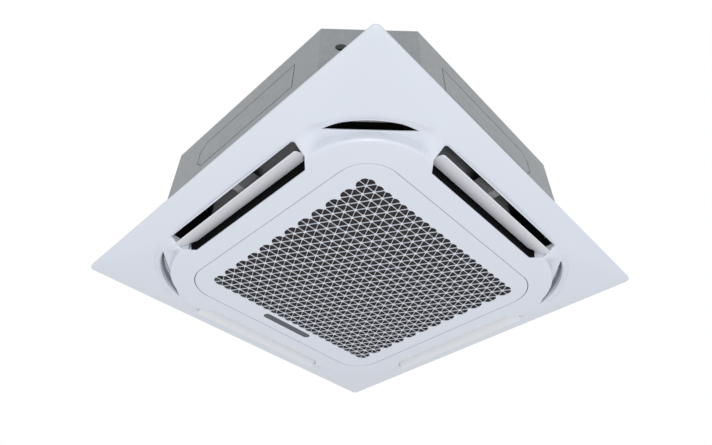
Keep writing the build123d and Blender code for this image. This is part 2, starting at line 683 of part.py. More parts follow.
def drain_pan():
    """Moulded foam pan: trough under the coil, air ducts outside it, seat for the bell mouth."""
    low = CASING_BOTTOM + SHEET
    pan = prism(octagon(FOAM_INNER + PAN_GAP) - square(PAN_OPENING, PAN_OPENING_R), low, PAN_TOP)
    pan -= prism(square(BELL_HALF + FIT, PAN_OPENING_R + FIT), low - OVER, low + BELL_PLATE)
    trough = ring(square(COIL_OUTER + TROUGH_SIDE, COIL_BEND_R + COIL_DEPTH / 2 + TROUGH_SIDE),
                  square(COIL_INNER - TROUGH_SIDE / 2, COIL_BEND_R - COIL_DEPTH / 2 - TROUGH_SIDE / 2),
                  TROUGH_FLOOR, PAN_TOP + OVER)
    half = SUMP_LENGTH / 2
    sump = at_corner(block(SUMP_RADIAL - SUMP_INWARD, SUMP_RADIAL + SUMP_OUTWARD, -half, half,
                           TROUGH_FLOOR, PAN_TOP + OVER))
    pan -= trough + sump
    half = REST_WIDTH / 2
    for turn in range(4):
        for place in REST_PLACES:
            rib = block(place - half, place + half, COIL_INNER - TROUGH_SIDE / 2, COIL_OUTER + TROUGH_SIDE,
                        TROUGH_FLOOR, COIL_BOTTOM)
            pan += Rot(0, 0, 90 * turn) * rib
    for duct in pan_ducts():
        pan -= duct
    return pan


def corner_point(radial, shift, height):
    """A point from its distance to the centre and its shift along the pipe corner."""
    return ((radial - shift) / ROOT2, (radial + shift) / ROOT2, height)


def gas_header():
    """Upright tube beside one coil end, with a stub to every second row."""
    header = rod(HEADER_R, COIL_BOTTOM + HEADER_INSET, COIL_TOP - HEADER_INSET, INNER_COLUMN, HEADER_Y)
    for pair in range(COIL_ROWS // 2):
        height = COIL_BOTTOM + COIL_ROW_PITCH * (2 * pair + 1.5)
        place = Pos(INNER_COLUMN, COIL_OPEN + END_PLATE, height) * Rot(-90, 0, 0)
        header += place * rod(HEADER_STUB_R, 0, HEADER_REACH - END_PLATE)
    return header


def liquid_distributor():
    """Cone that splits the liquid into two capillaries at the other coil end."""
    x, y, low = HEADER_Y, INNER_COLUMN, PIPE_HEIGHT - CONE_DROP
    narrow, wide = LIQUID_PIPE_R + CAPILLARY_R, LIQUID_PIPE_R + CAPILLARY_SPREAD
    cone = Pos(x, y, low) * lathe((0, 0), (narrow, 0), (wide, CONE_HEIGHT / 2), (wide, CONE_HEIGHT), (0, CONE_HEIGHT))
    high = low + CAPILLARY_RISE
    for side in (-CAPILLARY_SPREAD, CAPILLARY_SPREAD):
        bend = FilletPolyline((x, y + side, low + CONE_HEIGHT - CAPILLARY_R), (x, y + side, high),
                              (COIL_OPEN + END_PLATE, y + side, high), radius=6 * CAPILLARY_R)
        cone += along(bend, CAPILLARY_R)
    return cone


def gas_pipe():
    """From the header out through the pipe corner."""
    start = (INNER_COLUMN + HEADER_R - OVER, HEADER_Y, PIPE_HEIGHT)
    elbow = (COIL_HALF + GAS_ELBOW, HEADER_Y, PIPE_HEIGHT)
    inside = corner_point(CASING_CORNER - GAS_ELBOW, GAS_SHIFT, PIPE_HEIGHT)
    end = corner_point(CASING_CORNER + PIPE_OUT, GAS_SHIFT, PIPE_HEIGHT)
    return along(FilletPolyline(start, elbow, inside, end, radius=GAS_BEND_R), GAS_PIPE_R) - gas_header()


def liquid_pipe():
    """Down from the distributor, across, up and out through the pipe corner."""
    start = (HEADER_Y, INNER_COLUMN, PIPE_HEIGHT - CONE_DROP)
    low = PIPE_HEIGHT - LIQUID_DIP
    inside = corner_point(SUMP_RADIAL + PUMP_R - FIT, LIQUID_SHIFT, PIPE_HEIGHT)
    end = corner_point(CASING_CORNER + PIPE_OUT, LIQUID_SHIFT, PIPE_HEIGHT)
    path = FilletPolyline(start, (start[0], start[1], low), (inside[0], inside[1], low), inside, end,
                          radius=LIQUID_BEND_R)
    return along(path, LIQUID_PIPE_R)


def union(shift, pipe_r, thread_r):
    """Brass flare union on a pipe's end, its thread pointing away from the casing."""
    place = Pos(CASING_CORNER + PIPE_OUT, shift, PIPE_HEIGHT) * Rot(0, 90, 0)
    end = UNION_NUT + THREAD_LENGTH
    body = prism(RegularPolygon(thread_r * UNION_NUT_RATIO, 6), 0, UNION_NUT) + rod(thread_r, UNION_NUT, end)
    return at_corner(place * (body - rod(pipe_r - TUBE_WALL, -OVER, end + OVER)))


def pipe_cover():
    """Plate over the pipe opening, with a hole for each pipe."""
    middle, half = pipe_opening()
    half += COVER_LAP
    plate = block(CASING_CORNER, CASING_CORNER + PIPE_COVER, middle - half, middle + half,
                  PIPE_HEIGHT - half, PIPE_HEIGHT + half)
    for shift, radius in ((GAS_SHIFT, GAS_PIPE_R), (LIQUID_SHIFT, LIQUID_PIPE_R)):
        hole = rod(radius + FIT, -OVER, PIPE_COVER + OVER)
        plate -= Pos(CASING_CORNER, shift, PIPE_HEIGHT) * Rot(0, 90, 0) * hole
    return at_corner(plate)


def drain_pump():
    """Round pump over the sump, with its suction foot and outlet stub."""
    shoulder = PUMP_BOTTOM + PUMP_FOOT
    pump = rod(PUMP_R, shoulder, PUMP_TOP) + rod(PUMP_FOOT_R, PUMP_BOTTOM, shoulder)
    pump += rod(PUMP_STUB_R, TROUGH_FLOOR + PUMP_SUCTION, PUMP_BOTTOM)
    pump += Pos(0, 0, PUMP_TOP - PUMP_STUB_DROP) * Rot(0, 90, 0) * rod(PUMP_STUB_R, 0, PUMP_R + PUMP_STUB_R)
    return at_corner(Pos(SUMP_RADIAL, PUMP_SHIFT, 0) * pump)


def pump_bracket():
    """Folded strip from the casing's top to the pump's lid."""
    inner, outer = SUMP_RADIAL - PUMP_R, SUMP_RADIAL + SUMP_OUTWARD
    y_from, y_to = PUMP_SHIFT + BRACKET_FROM, PUMP_SHIFT + BRACKET_TO
    high = CASING_TOP - 2 * SHEET - FOAM
    bracket = block(inner + BRACKET_SETBACK, outer, y_from, PUMP_SHIFT + PUMP_R, PUMP_TOP, PUMP_TOP + BRACKET)
    bracket += block(outer - BRACKET, outer, y_from, y_to, PUMP_TOP, high)
    bracket += block(outer - SUMP_OUTWARD, outer, y_from, y_to, high - BRACKET, high)
    return at_corner(bracket)


def drain_tube():
    """Hose from the pump's stub up to the drain outlet."""
    inner, outer = SUMP_RADIAL + PUMP_R + PUMP_STUB_R, SUMP_RADIAL + PUMP_R + PUMP_STUB_R + HOSE_RUN
    low = PUMP_TOP - PUMP_STUB_DROP
    path = FilletPolyline(corner_point(inner, PUMP_SHIFT, low), corner_point(outer, PUMP_SHIFT, low),
                          corner_point(outer, DRAIN_SHIFT, DRAIN_HEIGHT),
                          corner_point(CASING_CORNER - FOAM_INNER, DRAIN_SHIFT, DRAIN_HEIGHT), radius=HOSE_BEND_R)
    return along(path, HOSE_R)


def drain_outlet():
    """Flanged socket through the casing, for the drain hose."""
    port = rod(DRAIN_R, -FOAM_INNER, DRAIN_LENGTH) + rod(DRAIN_R + DRAIN_FLANGE, 0, DRAIN_WALL)
    port -= rod(DRAIN_R - DRAIN_WALL, DRAIN_WALL - FOAM_INNER, DRAIN_LENGTH + OVER)
    return at_corner(Pos(CASING_CORNER, DRAIN_SHIFT, DRAIN_HEIGHT) * Rot(0, 90, 0) * port)


def float_stem():
    """Guide stem with a foot, and a cap that stops the float."""
    foot = TROUGH_FLOOR + STEM_FOOT
    cap = foot + FLOAT_HEIGHT + FLOAT_TRAVEL + FIT
    stem = rod(STEM_R, TROUGH_FLOOR, cap) + rod(FLOAT_R, TROUGH_FLOOR, foot) + rod(STEM_R * 2, cap, cap + STEM_FOOT)
    return at_corner(Pos(SUMP_RADIAL, FLOAT_SHIFT, 0) * stem)


def float_ring():
    low = TROUGH_FLOOR + STEM_FOOT
    high = low + FLOAT_HEIGHT
    ring_shape = rod(FLOAT_R, low, high) - rod(STEM_R + FIT, low - OVER, high + OVER)
    return at_corner(Pos(SUMP_RADIAL, FLOAT_SHIFT, 0) * ring_shape)


# ---------------------------------------------------------------- electrical box
def electrical_box():
    """Steel tray under the bell mouth's plate, open below."""
    y = BOX_LENGTH / 2
    top = CASING_BOTTOM + SHEET
    tray = block(BOX_X_FROM, BOX_X_TO, -y, y, BOX_BOTTOM, top)
    tray -= block(BOX_X_FROM + BOX_WALL, BOX_X_TO - BOX_WALL, -y + BOX_WALL, y - BOX_WALL, BOX_BOTTOM - 1,
                  top - BOX_WALL)
    for place in POST_PLACES:
        for x in (BOX_X_FROM + POST_INSET, BOX_X_TO - POST_INSET):
            tray += rod(POST_R, top - POST_LENGTH, top - BOX_WALL, x, place)
    return tray


def electrical_box_cover():
    y = BOX_LENGTH / 2
    plate = block(BOX_X_FROM, BOX_X_TO, -y, y, BOX_BOTTOM - BOX_WALL, BOX_BOTTOM)
    lip = BOX_WALL + FIT
    high = BOX_BOTTOM + BOX_LIP
    rim = block(BOX_X_FROM + lip, BOX_X_TO - lip, -y + lip, y - lip, BOX_BOTTOM, high)
    lip += BOX_WALL
    rim -= block(BOX_X_FROM + lip, BOX_X_TO - lip, -y + lip, y - lip, BOX_BOTTOM, high + OVER)
    return plate + rim


def on_board(x, y, size):
    """A block that hangs from the control board's lower side."""
    low = CASING_BOTTOM + SHEET - POST_LENGTH - BOARD_THICK
    return block(x, x + size[0], y, y + size[1], low - size[2], low)


def control_board():
    """Circuit board on the tray's posts, with its transformer, relays and capacitor."""
    top = CASING_BOTTOM + SHEET - POST_LENGTH
    low = top - BOARD_THICK
    board = block(BOX_X_FROM + BOARD_INSET, BOX_X_TO - BOARD_INSET, BOARD_FROM, BOARD_TO, low, top)
    board += on_board(BOX_X_FROM + TRANSFORMER_PLACE[0], TRANSFORMER_PLACE[1], TRANSFORMER_SIZE)
    for place in RELAY_PLACES:
        board += on_board(BOX_X_TO - RELAY_INSET, place, RELAY_SIZE)
    board += rod(CAPACITOR_R, low - CAPACITOR_LENGTH, low, BOX_X_FROM + CAPACITOR_PLACE[0], CAPACITOR_PLACE[1])
    return board


def terminal_block():
    """Screw terminals on a raised moulding at the tray's end."""
    top = CASING_BOTTOM + SHEET - BOX_WALL
    low, end = top - TERMINAL_HEIGHT, TERMINAL_FROM + TERMINAL_LENGTH
    strip = block(BOX_X_FROM + TERMINAL_INSET, BOX_X_TO - TERMINAL_INSET, TERMINAL_FROM, end, low, top)
    width, length, deep = TERMINAL_CELL
    middle_x, middle_y = (BOX_X_FROM + BOX_X_TO) / 2, (TERMINAL_FROM + end) / 2
    for place in range(TERMINALS):
        x = middle_x + TERMINAL_PITCH * (place - (TERMINALS - 1) / 2)
        strip -= block(x - width / 2, x + width / 2, middle_y - length / 2, middle_y + length / 2,
                       low - OVER, low + deep)
    return strip


# ---------------------------------------------------------------- panel
def panel_dish(skin):
    """Everything above the panel's lower skin; with skin, above its upper side."""
    edge = prism(square(PANEL_HALF - skin, PANEL_CORNER_R - skin), -PANEL_EDGE + skin, 0)
    levels = [(PANEL_EDGE, square(PANEL_HALF - skin, PANEL_CORNER_R - skin)),
              (MOAT_DEPTH, square(MOAT_HALF - skin / 2, MOAT_R - skin / 2)),
              (PLATEAU_DEPTH, square(PLATEAU_HALF - skin, PLATEAU_R - skin)),
              (PANEL_DEPTH, square(GRILLE_HALF + GRILLE_GAP, GRILLE_R + GRILLE_GAP))]
    dish = edge
    for (high, upper), (low, lower) in zip(levels, levels[1:]):
        dish += loft([Pos(0, 0, skin - low) * lower, Pos(0, 0, skin - high) * upper], ruled=True)
    return dish


def outlet_outline(clearance=0.0):
    """Plan of the back outlet; its inner corners are cut at 45 degrees."""
    half = OUTLET_LENGTH / 2 - clearance
    outer, inner = OUTLET_OUTER - clearance, OUTLET_INNER + clearance
    outline = make_face(Polyline((-half, outer), (half, outer), (half, inner + OUTLET_CUT),
                                 (half - OUTLET_CUT, inner), (-half + OUTLET_CUT, inner),
                                 (-half, inner + OUTLET_CUT), close=True))
    return fillet(outline.vertices(), OUTLET_ROUND)


def corner_outline(grow=0.0):
    """Plan of the corner outlet that faces +X: an arc cut off by a straight inner edge."""
    centre = (MOAT_HALF - MOAT_R) * ROOT2
    chord = CORNER_CHORD - grow
    far = centre + CORNER_ARC_R + grow
    return (Pos(centre, 0) * Circle(CORNER_ARC_R + grow)) & (Pos((chord + far) / 2, 0) * Rectangle(far - chord, far))


def panel_frame():
    """One moulding: sloped skin, moat, plateau, collars of the outlets and the grille's pocket."""
    skin_shape = panel_dish(0) - panel_dish(SKIN)
    room = panel_dish(0) + prism(octagon(-1), -1, PANEL_TOP + 4)
    ledge, pocket = square(POCKET_HALF + SKIN, POCKET_R + SKIN), square(POCKET_HALF, POCKET_R)
    intake = square(INTAKE_HALF, INTAKE_R)
    intake_wall = square(INTAKE_HALF + SKIN, INTAKE_R + SKIN)

    walls = ring(octagon(0), octagon(SKIN), -PANEL_DEPTH, PANEL_TOP)
    walls += ring(octagon(SEAT_WIDTH - SKIN), octagon(SEAT_WIDTH), -PANEL_DEPTH, PANEL_TOP)
    walls += ring(octagon(0), octagon(SEAT_WIDTH), PANEL_TOP - SKIN, PANEL_TOP)
    for turn in range(4):
        outline = Rot(0, 0, 90 * turn) * outlet_outline()
        outer_side = block(-PANEL_HALF, PANEL_HALF, OUTLET_INNER + LINER_REACH, PANEL_HALF, -PANEL_DEPTH, PANEL_TOP)
        collar = ring(offset(outline, SKIN), outline, -PANEL_DEPTH, PANEL_TOP)
        walls += collar & (Rot(0, 0, 90 * turn) * outer_side)
        corner = at_corner(corner_outline(), CORNER_TURN + 90 * turn)
        collar = at_corner(corner_outline(SKIN), CORNER_TURN + 90 * turn)
        walls += ring(collar, corner, -PANEL_DEPTH, -CORNER_COLLAR)
    walls += ring(ledge, pocket, -PANEL_DEPTH, SKIN - POCKET_TOP)
    walls += ring(ledge, intake, -POCKET_TOP, SKIN - POCKET_TOP)
    walls += ring(intake_wall, intake, -POCKET_TOP, CASING_BOTTOM - SHEET)
    frame = skin_shape + (walls & room)

    frame -= prism(square(GRILLE_HALF + GRILLE_GAP, GRILLE_R + GRILLE_GAP), -PANEL_DEPTH - OVER, SKIN - PLATEAU_DEPTH)
    for turn in range(4):
        frame -= prism(Rot(0, 0, 90 * turn) * outlet_outline(), -PANEL_DEPTH - OVER, PANEL_TOP + OVER)
        frame -= prism(at_corner(corner_outline(), CORNER_TURN + 90 * turn), -PANEL_DEPTH - OVER, -CORNER_ROOF)
    for side in (-1, 1):
        frame += hinge_lugs(side)
        frame -= pin_rod(side)
    return frame


def hinge_lugs(side):
    """Two lugs in the pocket's corner that hold a hinge pin."""
    near, far = ARM_WIDTH / 2 + FIT, ARM_WIDTH / 2 + FIT + LUG_WIDTH
    low, high = SKIN / 2 - PANEL_DEPTH, LUG_TOP - HINGE_DEPTH
    lugs = block(-far, -near, HINGE_Y - LUG_REACH, POCKET_HALF + OVER, low, high)
    lugs += block(near, far, HINGE_Y - LUG_REACH, POCKET_HALF + OVER, low, high)
    return Pos(side * HINGE_X, 0, 0) * lugs


def pin_rod(side):
    length = ARM_WIDTH + 2 * (FIT + LUG_WIDTH)
    start = side * HINGE_X - length / 2
    return Pos(start, HINGE_Y, -HINGE_DEPTH) * Rot(0, 90, 0) * rod(HINGE_PIN_R, 0, length)


def outlet_liners():
    """Dark foam along the inner wall of each side outlet."""
    low, high = -PLATEAU_SKIN + LINER_FROM_EDGE, CASING_BOTTOM
    outline = outlet_outline()
    wall = ring(offset(outline, LINER_THICK), outline, low, high)
    inner_side = block(-PANEL_HALF, PANEL_HALF, 0, OUTLET_INNER + LINER_REACH, low, high)
    return quarters(wall & inner_side)


def panel_gasket():
    seat = ring(octagon(0), octagon(SEAT_WIDTH), PANEL_TOP, PANEL_TOP + GASKET)
    inner = ring(square(INTAKE_HALF + SKIN, INTAKE_R + SKIN), square(INTAKE_HALF, INTAKE_R),
                 CASING_BOTTOM - SHEET, CASING_BOTTOM + SHEET)
    return [seat, inner]


# ---------------------------------------------------------------- louvres
def blade_profile():
    """Section of a louvre across its length, level, with its pivot at the origin."""
    half, low = LOUVRE_CHORD / 2, -LOUVRE_OFFSET
    high, middle = low + LOUVRE_THICK, low - LOUVRE_BOW
    return make_face([ThreePointArc((-half, low), (0, middle), (half, low)), Line((half, low), (half, high)),
                      ThreePointArc((half, high), (0, middle + LOUVRE_THICK), (-half, high)),
                      Line((-half, high), (-half, low))])


def louvre():
    """Blade, end arms and pins of the back louvre, tilted as it stands at rest."""
    half = OUTLET_LENGTH / 2 - LOUVRE_END_GAP
    across = Plane((-half, 0, 0), x_dir=(0, 1, 0), z_dir=(1, 0, 0))
    blade = extrude(across * blade_profile(), 2 * half)
    blade &= prism(Pos(0, -LOUVRE_Y) * outlet_outline(LOUVRE_END_GAP), -LOUVRE_CHORD, LOUVRE_CHORD)
    rib, inset = LOUVRE_RIB / 2, OUTLET_CUT - LOUVRE_ARM
    pieces = blade + block(-half + inset, half - inset, -rib, rib, -LOUVRE_OFFSET, 0)
    pin_reach = LOUVRE_END_GAP + SKIN + OVER
    neck = LOUVRE_HUB_R / 2
    arm = rod(LOUVRE_HUB_R, 0, LOUVRE_ARM) + block(0, LOUVRE_OFFSET, -neck, neck, 0, LOUVRE_ARM)
    arm += rod(LOUVRE_PIN_R, -pin_reach, 0)
    pieces += Pos(-half, 0, 0) * Rot(0, 90, 0) * arm
    pieces += Pos(half, 0, 0) * Rot(0, 0, 180) * Rot(0, 90, 0) * arm
    return Pos(0, LOUVRE_Y, -PIVOT_DEPTH) * Rot(-LOUVRE_TILT, 0, 0) * pieces


def pivot_holes():
    """What the louvre pins need through the ends of the back outlet."""
    place = Pos(0, LOUVRE_Y, -PIVOT_DEPTH) * Rot(0, 90, 0)
    return place * Cylinder(LOUVRE_PIN_R + PIN_CLEARANCE, OUTLET_LENGTH + 4 * SKIN)


def louvre_motors():
    """A geared stepper at one end of each louvre, on the outlet's end wall."""
    start = OUTLET_LENGTH / 2 + SKIN
    height = STEPPER_OFFSET - PIVOT_DEPTH
    body = Pos(start, LOUVRE_Y, height) * Rot(0, 90, 0) * rod(STEPPER_R, 0, STEPPER_LENGTH)
    shaft = Pos(start, LOUVRE_Y, -PIVOT_DEPTH) * Rot(0, 90, 0)
    body += shaft * rod(STEPPER_R / 2, 0, STEPPER_BOSS)
    body += block(start, start + STEPPER_BOSS, LOUVRE_Y - STEPPER_R, LOUVRE_Y + STEPPER_R,
                  height, height + STEPPER_R + STEPPER_EAR)
    return quarters(body - shaft * rod(LOUVRE_PIN_R + PIN_CLEARANCE, -OVER, 2 * OVER))


# ---------------------------------------------------------------- intake grille
def in_field(x, y):
    return abs(x) <= PERFORATION_WIDTH / 2 and abs(y - PERFORATION_SHIFT) <= PERFORATION_HEIGHT / 2


def perforations():
    """Round-cornered triangles in rings of six, on a triangular grid of ribs."""
    pitch, row_height = HOLE_PITCH, HOLE_PITCH * math.sqrt(3) / 2
    columns = int((PERFORATION_WIDTH / 2) // pitch) + 1
    rows = int((PERFORATION_HEIGHT / 2) // row_height) + 1
    reach = pitch / math.sqrt(3) - RIB
    holes = []
    for row in range(-rows, rows + 1):
        for column in range(-columns, columns + 1):
            x = column * pitch + (row % 2) * pitch / 2
            y = PERFORATION_SHIFT + row * row_height
            for turn, side in ((30, 1 / 3), (-30, -1 / 3)):
                middle = (x + pitch / 2, y + side * row_height)
                corners = [(middle[0] + reach * math.cos(math.radians(turn + 60 + 120 * k)),
                            middle[1] + reach * math.sin(math.radians(turn + 60 + 120 * k))) for k in range(3)]
                if all(in_field(*corner) for corner in corners):
                    holes.append(Wire.make_polygon([Vector(*corner) for corner in corners]))
    return holes


def grille():
    """Perforated cover with a slot for the display and a rounded front edge."""
    low, high = -PANEL_DEPTH, -PLATEAU_DEPTH
    outline = square(GRILLE_HALF, GRILLE_R).face()
    window = (Pos(WINDOW_X, WINDOW_Y) * SlotOverall(WINDOW_LENGTH, WINDOW_WIDTH)).face()
    inner = perforations() + [window.outer_wire()]
    plate = extrude(Pos(0, 0, low) * Face(outline.outer_wire(), inner), high - low, dir=(0, 0, 1))
    front = plate.edges().filter_by_position(Axis.Z, low, low)
    return fillet([edge for edge in front if is_outer(edge)], GRILLE_EDGE_R)


def grille_frame():
    """Stiffening wall behind the cover, with the two arms that carry it."""
    low = -PLATEAU_DEPTH
    inner = square(STIFFENER_HALF - FRAME_WALL, STIFFENER_R - FRAME_WALL)
    frame = ring(square(STIFFENER_HALF, STIFFENER_R), inner, low, -STIFFENER_TOP)
    for side in (-1, 1):
        frame += hinge_arm(side)
    return frame


def hinge_arm(side):
    """Bent arm that reaches from the cover over the panel's lip to its pin."""
    foot, top, half = HINGE_DEPTH - PLATEAU_DEPTH, ARM_TOP, ARM_WIDTH / 2
    corners = [(-ARM_LEG_TO, foot), (-ARM_LEG_TO, top), (ARM_STUB, top), (ARM_STUB, 0), (-ARM_STUB, 0),
               (-ARM_STUB, top - ARM_BAR), (-ARM_LEG_FROM, top - ARM_BAR), (-ARM_LEG_FROM, foot)]
    outline = make_face(Polyline(*corners, close=True))
    bent = [corner for corner in outline.vertices() if corner.Y > 0]
    across = Plane((side * HINGE_X - half, HINGE_Y, -HINGE_DEPTH), x_dir=(0, 1, 0), z_dir=(1, 0, 0))
    arm = extrude(across * (fillet(bent, ARM_ROUND) + Circle(KNUCKLE_R)), ARM_WIDTH)
    arm += block(side * HINGE_X - half, side * HINGE_X + half, STIFFENER_HALF - FRAME_WALL,
                 HINGE_Y - ARM_LEG_FROM, -PLATEAU_DEPTH, ARM_FOOT - PLATEAU_DEPTH)
    return arm - extrude(across * Circle(HINGE_PIN_R + PIN_CLEARANCE), ARM_WIDTH)


def hinge_pins():
    return [pin_rod(side) for side in (-1, 1)]


def is_outer(edge):
    middle = edge.center()
    corner = GRILLE_HALF - GRILLE_R
    if abs(middle.X) > corner and abs(middle.Y) > corner:
        return math.hypot(abs(middle.X) - corner, abs(middle.Y) - corner) > GRILLE_R * 0.8
    return max(abs(middle.X), abs(middle.Y)) > GRILLE_HALF - 1


def filter_outline(inset):
    """The filter covers the holes and leaves the display's strip free."""
    low, high = -FILTER_HALF + inset, FILTER_BACK - inset
    return Pos(0, (low + high) / 2) * RectangleRounded(2 * (FILTER_HALF - inset), high - low, FILTER_R - inset)


def filter_frame():
    """Frame with two long and two cross bars, grooved for the net."""
    low, high = -PLATEAU_DEPTH, -PLATEAU_DEPTH + FILTER_THICK
    frame = ring(filter_outline(0), filter_outline(FILTER_BORDER), low, high)
    end, half = FILTER_BORDER - OVER, FILTER_BAR / 2
    for place in (-FILTER_CROSS, FILTER_CROSS):
        frame += block(place - half, place + half, -FILTER_HALF + end, FILTER_BACK - end, low, high)
        y = place + FILTER_CROSS_SHIFT
        frame += block(-FILTER_HALF + end, FILTER_HALF - end, y - half, y + half, low, high)
    return frame - filter_mesh()


def filter_mesh():
    low = -PLATEAU_DEPTH + MESH_LEVEL
    return prism(filter_outline(MESH_INSET), low, low + MESH_THICK)


def display_window():
    """Dark lens in the grille's slot, with a flange behind it."""
    place = Pos(WINDOW_X, WINDOW_Y)
    less, more, back = 2 * LENS_CLEARANCE, 2 * LENS_FLANGE, -PLATEAU_DEPTH
    lens = prism(place * SlotOverall(WINDOW_LENGTH - less, WINDOW_WIDTH - less), -PANEL_DEPTH + LENS_SET, back)
    flange = place * SlotOverall(WINDOW_LENGTH + more, WINDOW_WIDTH + more)
    return lens + prism(flange, back, back + LENS_FLANGE_THICK)


def display_board():
    """Small circuit board with three lamps, on the lens."""
    low = -PLATEAU_DEPTH + LENS_FLANGE_THICK
    top = low + BOARD_THICK
    board = prism(Pos(WINDOW_X, WINDOW_Y) * Rectangle(WINDOW_LENGTH, WINDOW_WIDTH), low, top)
    length, width, height = LAMP_SIZE
    for place in LAMP_PLACES:
        x = WINDOW_X + place
        board += block(x, x + length, WINDOW_Y - width / 2, WINDOW_Y + width / 2, top, top + height)
    return board


# ---------------------------------------------------------------- touch latches
def latch_housings():
    """Boxes under the pocket's ledge, open below for the plungers."""
    floor = -LATCH_DEPTH + LATCH_WALL
    ceiling = floor + LATCH_COLLAR_HEIGHT + LATCH_TRAVEL
    half_x, half_y = LATCH_LENGTH / 2, LATCH_WIDTH / 2
    shell = block(-half_x, half_x, -half_y, half_y, -LATCH_DEPTH, -POCKET_TOP)
    shell -= rod(LATCH_R + LATCH_COLLAR + FIT, floor, ceiling)
    shell -= rod(LATCH_R + PIN_CLEARANCE, -LATCH_DEPTH - OVER, floor + OVER)
    return [Pos(side * LATCH_X, -LATCH_Y, 0) * shell for side in (-1, 1)]


def latch_plunger(side):
    floor = -LATCH_DEPTH + LATCH_WALL
    plunger = rod(LATCH_R, -PLATEAU_DEPTH, floor + LATCH_COLLAR_HEIGHT)
    plunger += rod(LATCH_R + LATCH_COLLAR, floor, floor + LATCH_COLLAR_HEIGHT)
    return Pos(side * LATCH_X, -LATCH_Y, 0) * plunger


# ---------------------------------------------------------------- fasteners
def casing_screws():
    """Hexagon heads that hold the top plate to the wall's flange."""
    head = prism(RegularPolygon(SCREW_HEAD_R, 6), CASING_TOP, CASING_TOP + SCREW_HEAD)
    reach = CASING_HALF - TOP_FLANGE / 2
    return [Rot(0, 0, 90 * turn) * Pos(place, reach, 0) * head
            for turn in range(4) for place in (-SCREW_PLACE, SCREW_PLACE)]


def panel_screws():
    """Screws up through the pocket's ledge, one near each corner of the intake."""
    low = -POCKET_TOP
    screw = rod(SCREW_HEAD_R, low - SCREW_HEAD, low) + rod(SCREW_R, low, low + SKIN)
    reach = (POCKET_HALF + INTAKE_HALF) / 2
    return [Rot(0, 0, 90 * turn) * Pos(PANEL_SCREW_PLACE, reach, 0) * screw for turn in range(4)]


# ---------------------------------------------------------------- everything is written here
frame_shape = panel_frame()
for turn in range(4):
    frame_shape -= Rot(0, 0, 90 * turn) * pivot_holes()
for screw in panel_screws():
    frame_shape -= screw

save("casing_wall", casing_wall())
save("casing_top", casing_top())
save("hanger_brackets", *hanger_brackets())
save("wall_insulation", wall_insulation())
save("top_insulation", top_insulation())
save("casing_screws", *casing_screws())
save("motor_mount", motor_mount())
save("motor_grommets", *motor_grommets())
save("motor_nuts", *motor_nuts())
save("fan_motor", fan_motor())
save("fan_shaft", fan_shaft())
save("fan_hub", fan_hub())
save("fan_blades", *fan_blades())
save("fan_shroud", fan_shroud())
save("fan_nut", fan_nut())
save("bell_mouth", bell_mouth())
save("coil_fins", coil_fins())
save("coil_end_plates", *coil_end_plates())
save("coil_tube_bends", *coil_tube_bends())
save("gas_header", gas_header())
save("liquid_distributor", liquid_distributor())
save("gas_pipe", gas_pipe())
save("liquid_pipe", liquid_pipe())
save("gas_union", union(GAS_SHIFT, GAS_PIPE_R, GAS_THREAD_R))
save("liquid_union", union(LIQUID_SHIFT, LIQUID_PIPE_R, LIQUID_THREAD_R))
save("pipe_cover", pipe_cover())
save("drain_pan", drain_pan())
save("drain_pump", drain_pump())
save("pump_bracket", pump_bracket())
save("drain_tube", drain_tube())
save("drain_outlet", drain_outlet())
save("float_stem", float_stem())
save("float", float_ring())
save("electrical_box", electrical_box())
save("electrical_box_cover", electrical_box_cover())
save("control_board", control_board())
save("terminal_block", terminal_block())
save("panel_frame", frame_shape)
save("outlet_liners", *outlet_liners())
save("panel_gasket", *panel_gasket())
save("panel_screws", *panel_screws())
save("louvre_motors", *louvre_motors())
for name, piece in zip(SIDES, quarters(louvre())):
    save(f"louvre_{name}", piece)
save("grille", grille())
save("grille_frame", grille_frame())
save("hinge_pins", *hinge_pins())
save("filter_frame", filter_frame())
save("filter_mesh", filter_mesh())
save("display_window", display_window())
save("display_board", display_board())
save("latch_housings", *latch_housings())
save("latch_plunger_left", latch_plunger(-1))
save("latch_plunger_right", latch_plunger(1))
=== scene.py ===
import json
import math

import bmesh
import bpy
from mathutils import Matrix, Vector
from mathutils.geometry import delaunay_2d_cdt


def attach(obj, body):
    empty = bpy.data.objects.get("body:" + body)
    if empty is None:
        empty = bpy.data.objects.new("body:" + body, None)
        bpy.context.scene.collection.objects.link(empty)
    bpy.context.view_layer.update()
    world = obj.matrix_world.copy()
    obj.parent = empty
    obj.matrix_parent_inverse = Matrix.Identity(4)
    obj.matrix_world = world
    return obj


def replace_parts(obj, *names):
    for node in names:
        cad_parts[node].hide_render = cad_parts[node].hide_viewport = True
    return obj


# A ceiling cassette air conditioner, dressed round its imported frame. Lengths are in millimetres from
# the finished ceiling, in the part's own directions, and are turned into metres when a mesh is made.

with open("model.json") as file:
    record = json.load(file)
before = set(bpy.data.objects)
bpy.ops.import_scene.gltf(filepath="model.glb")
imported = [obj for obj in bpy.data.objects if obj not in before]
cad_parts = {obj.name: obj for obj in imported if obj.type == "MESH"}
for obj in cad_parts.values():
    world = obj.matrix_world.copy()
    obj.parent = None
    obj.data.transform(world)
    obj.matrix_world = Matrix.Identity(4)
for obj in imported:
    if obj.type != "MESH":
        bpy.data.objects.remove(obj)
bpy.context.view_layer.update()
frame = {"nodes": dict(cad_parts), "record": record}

CEILING = -140.0                 # height of the finished ceiling in the frame
CASING_HALF = 420.0
CASING_CHAMFER = 150.0           # leg of the casing's cut-off corners


def metres(x, y, z):
    return (x / 1000, y / 1000, (z + CEILING) / 1000)


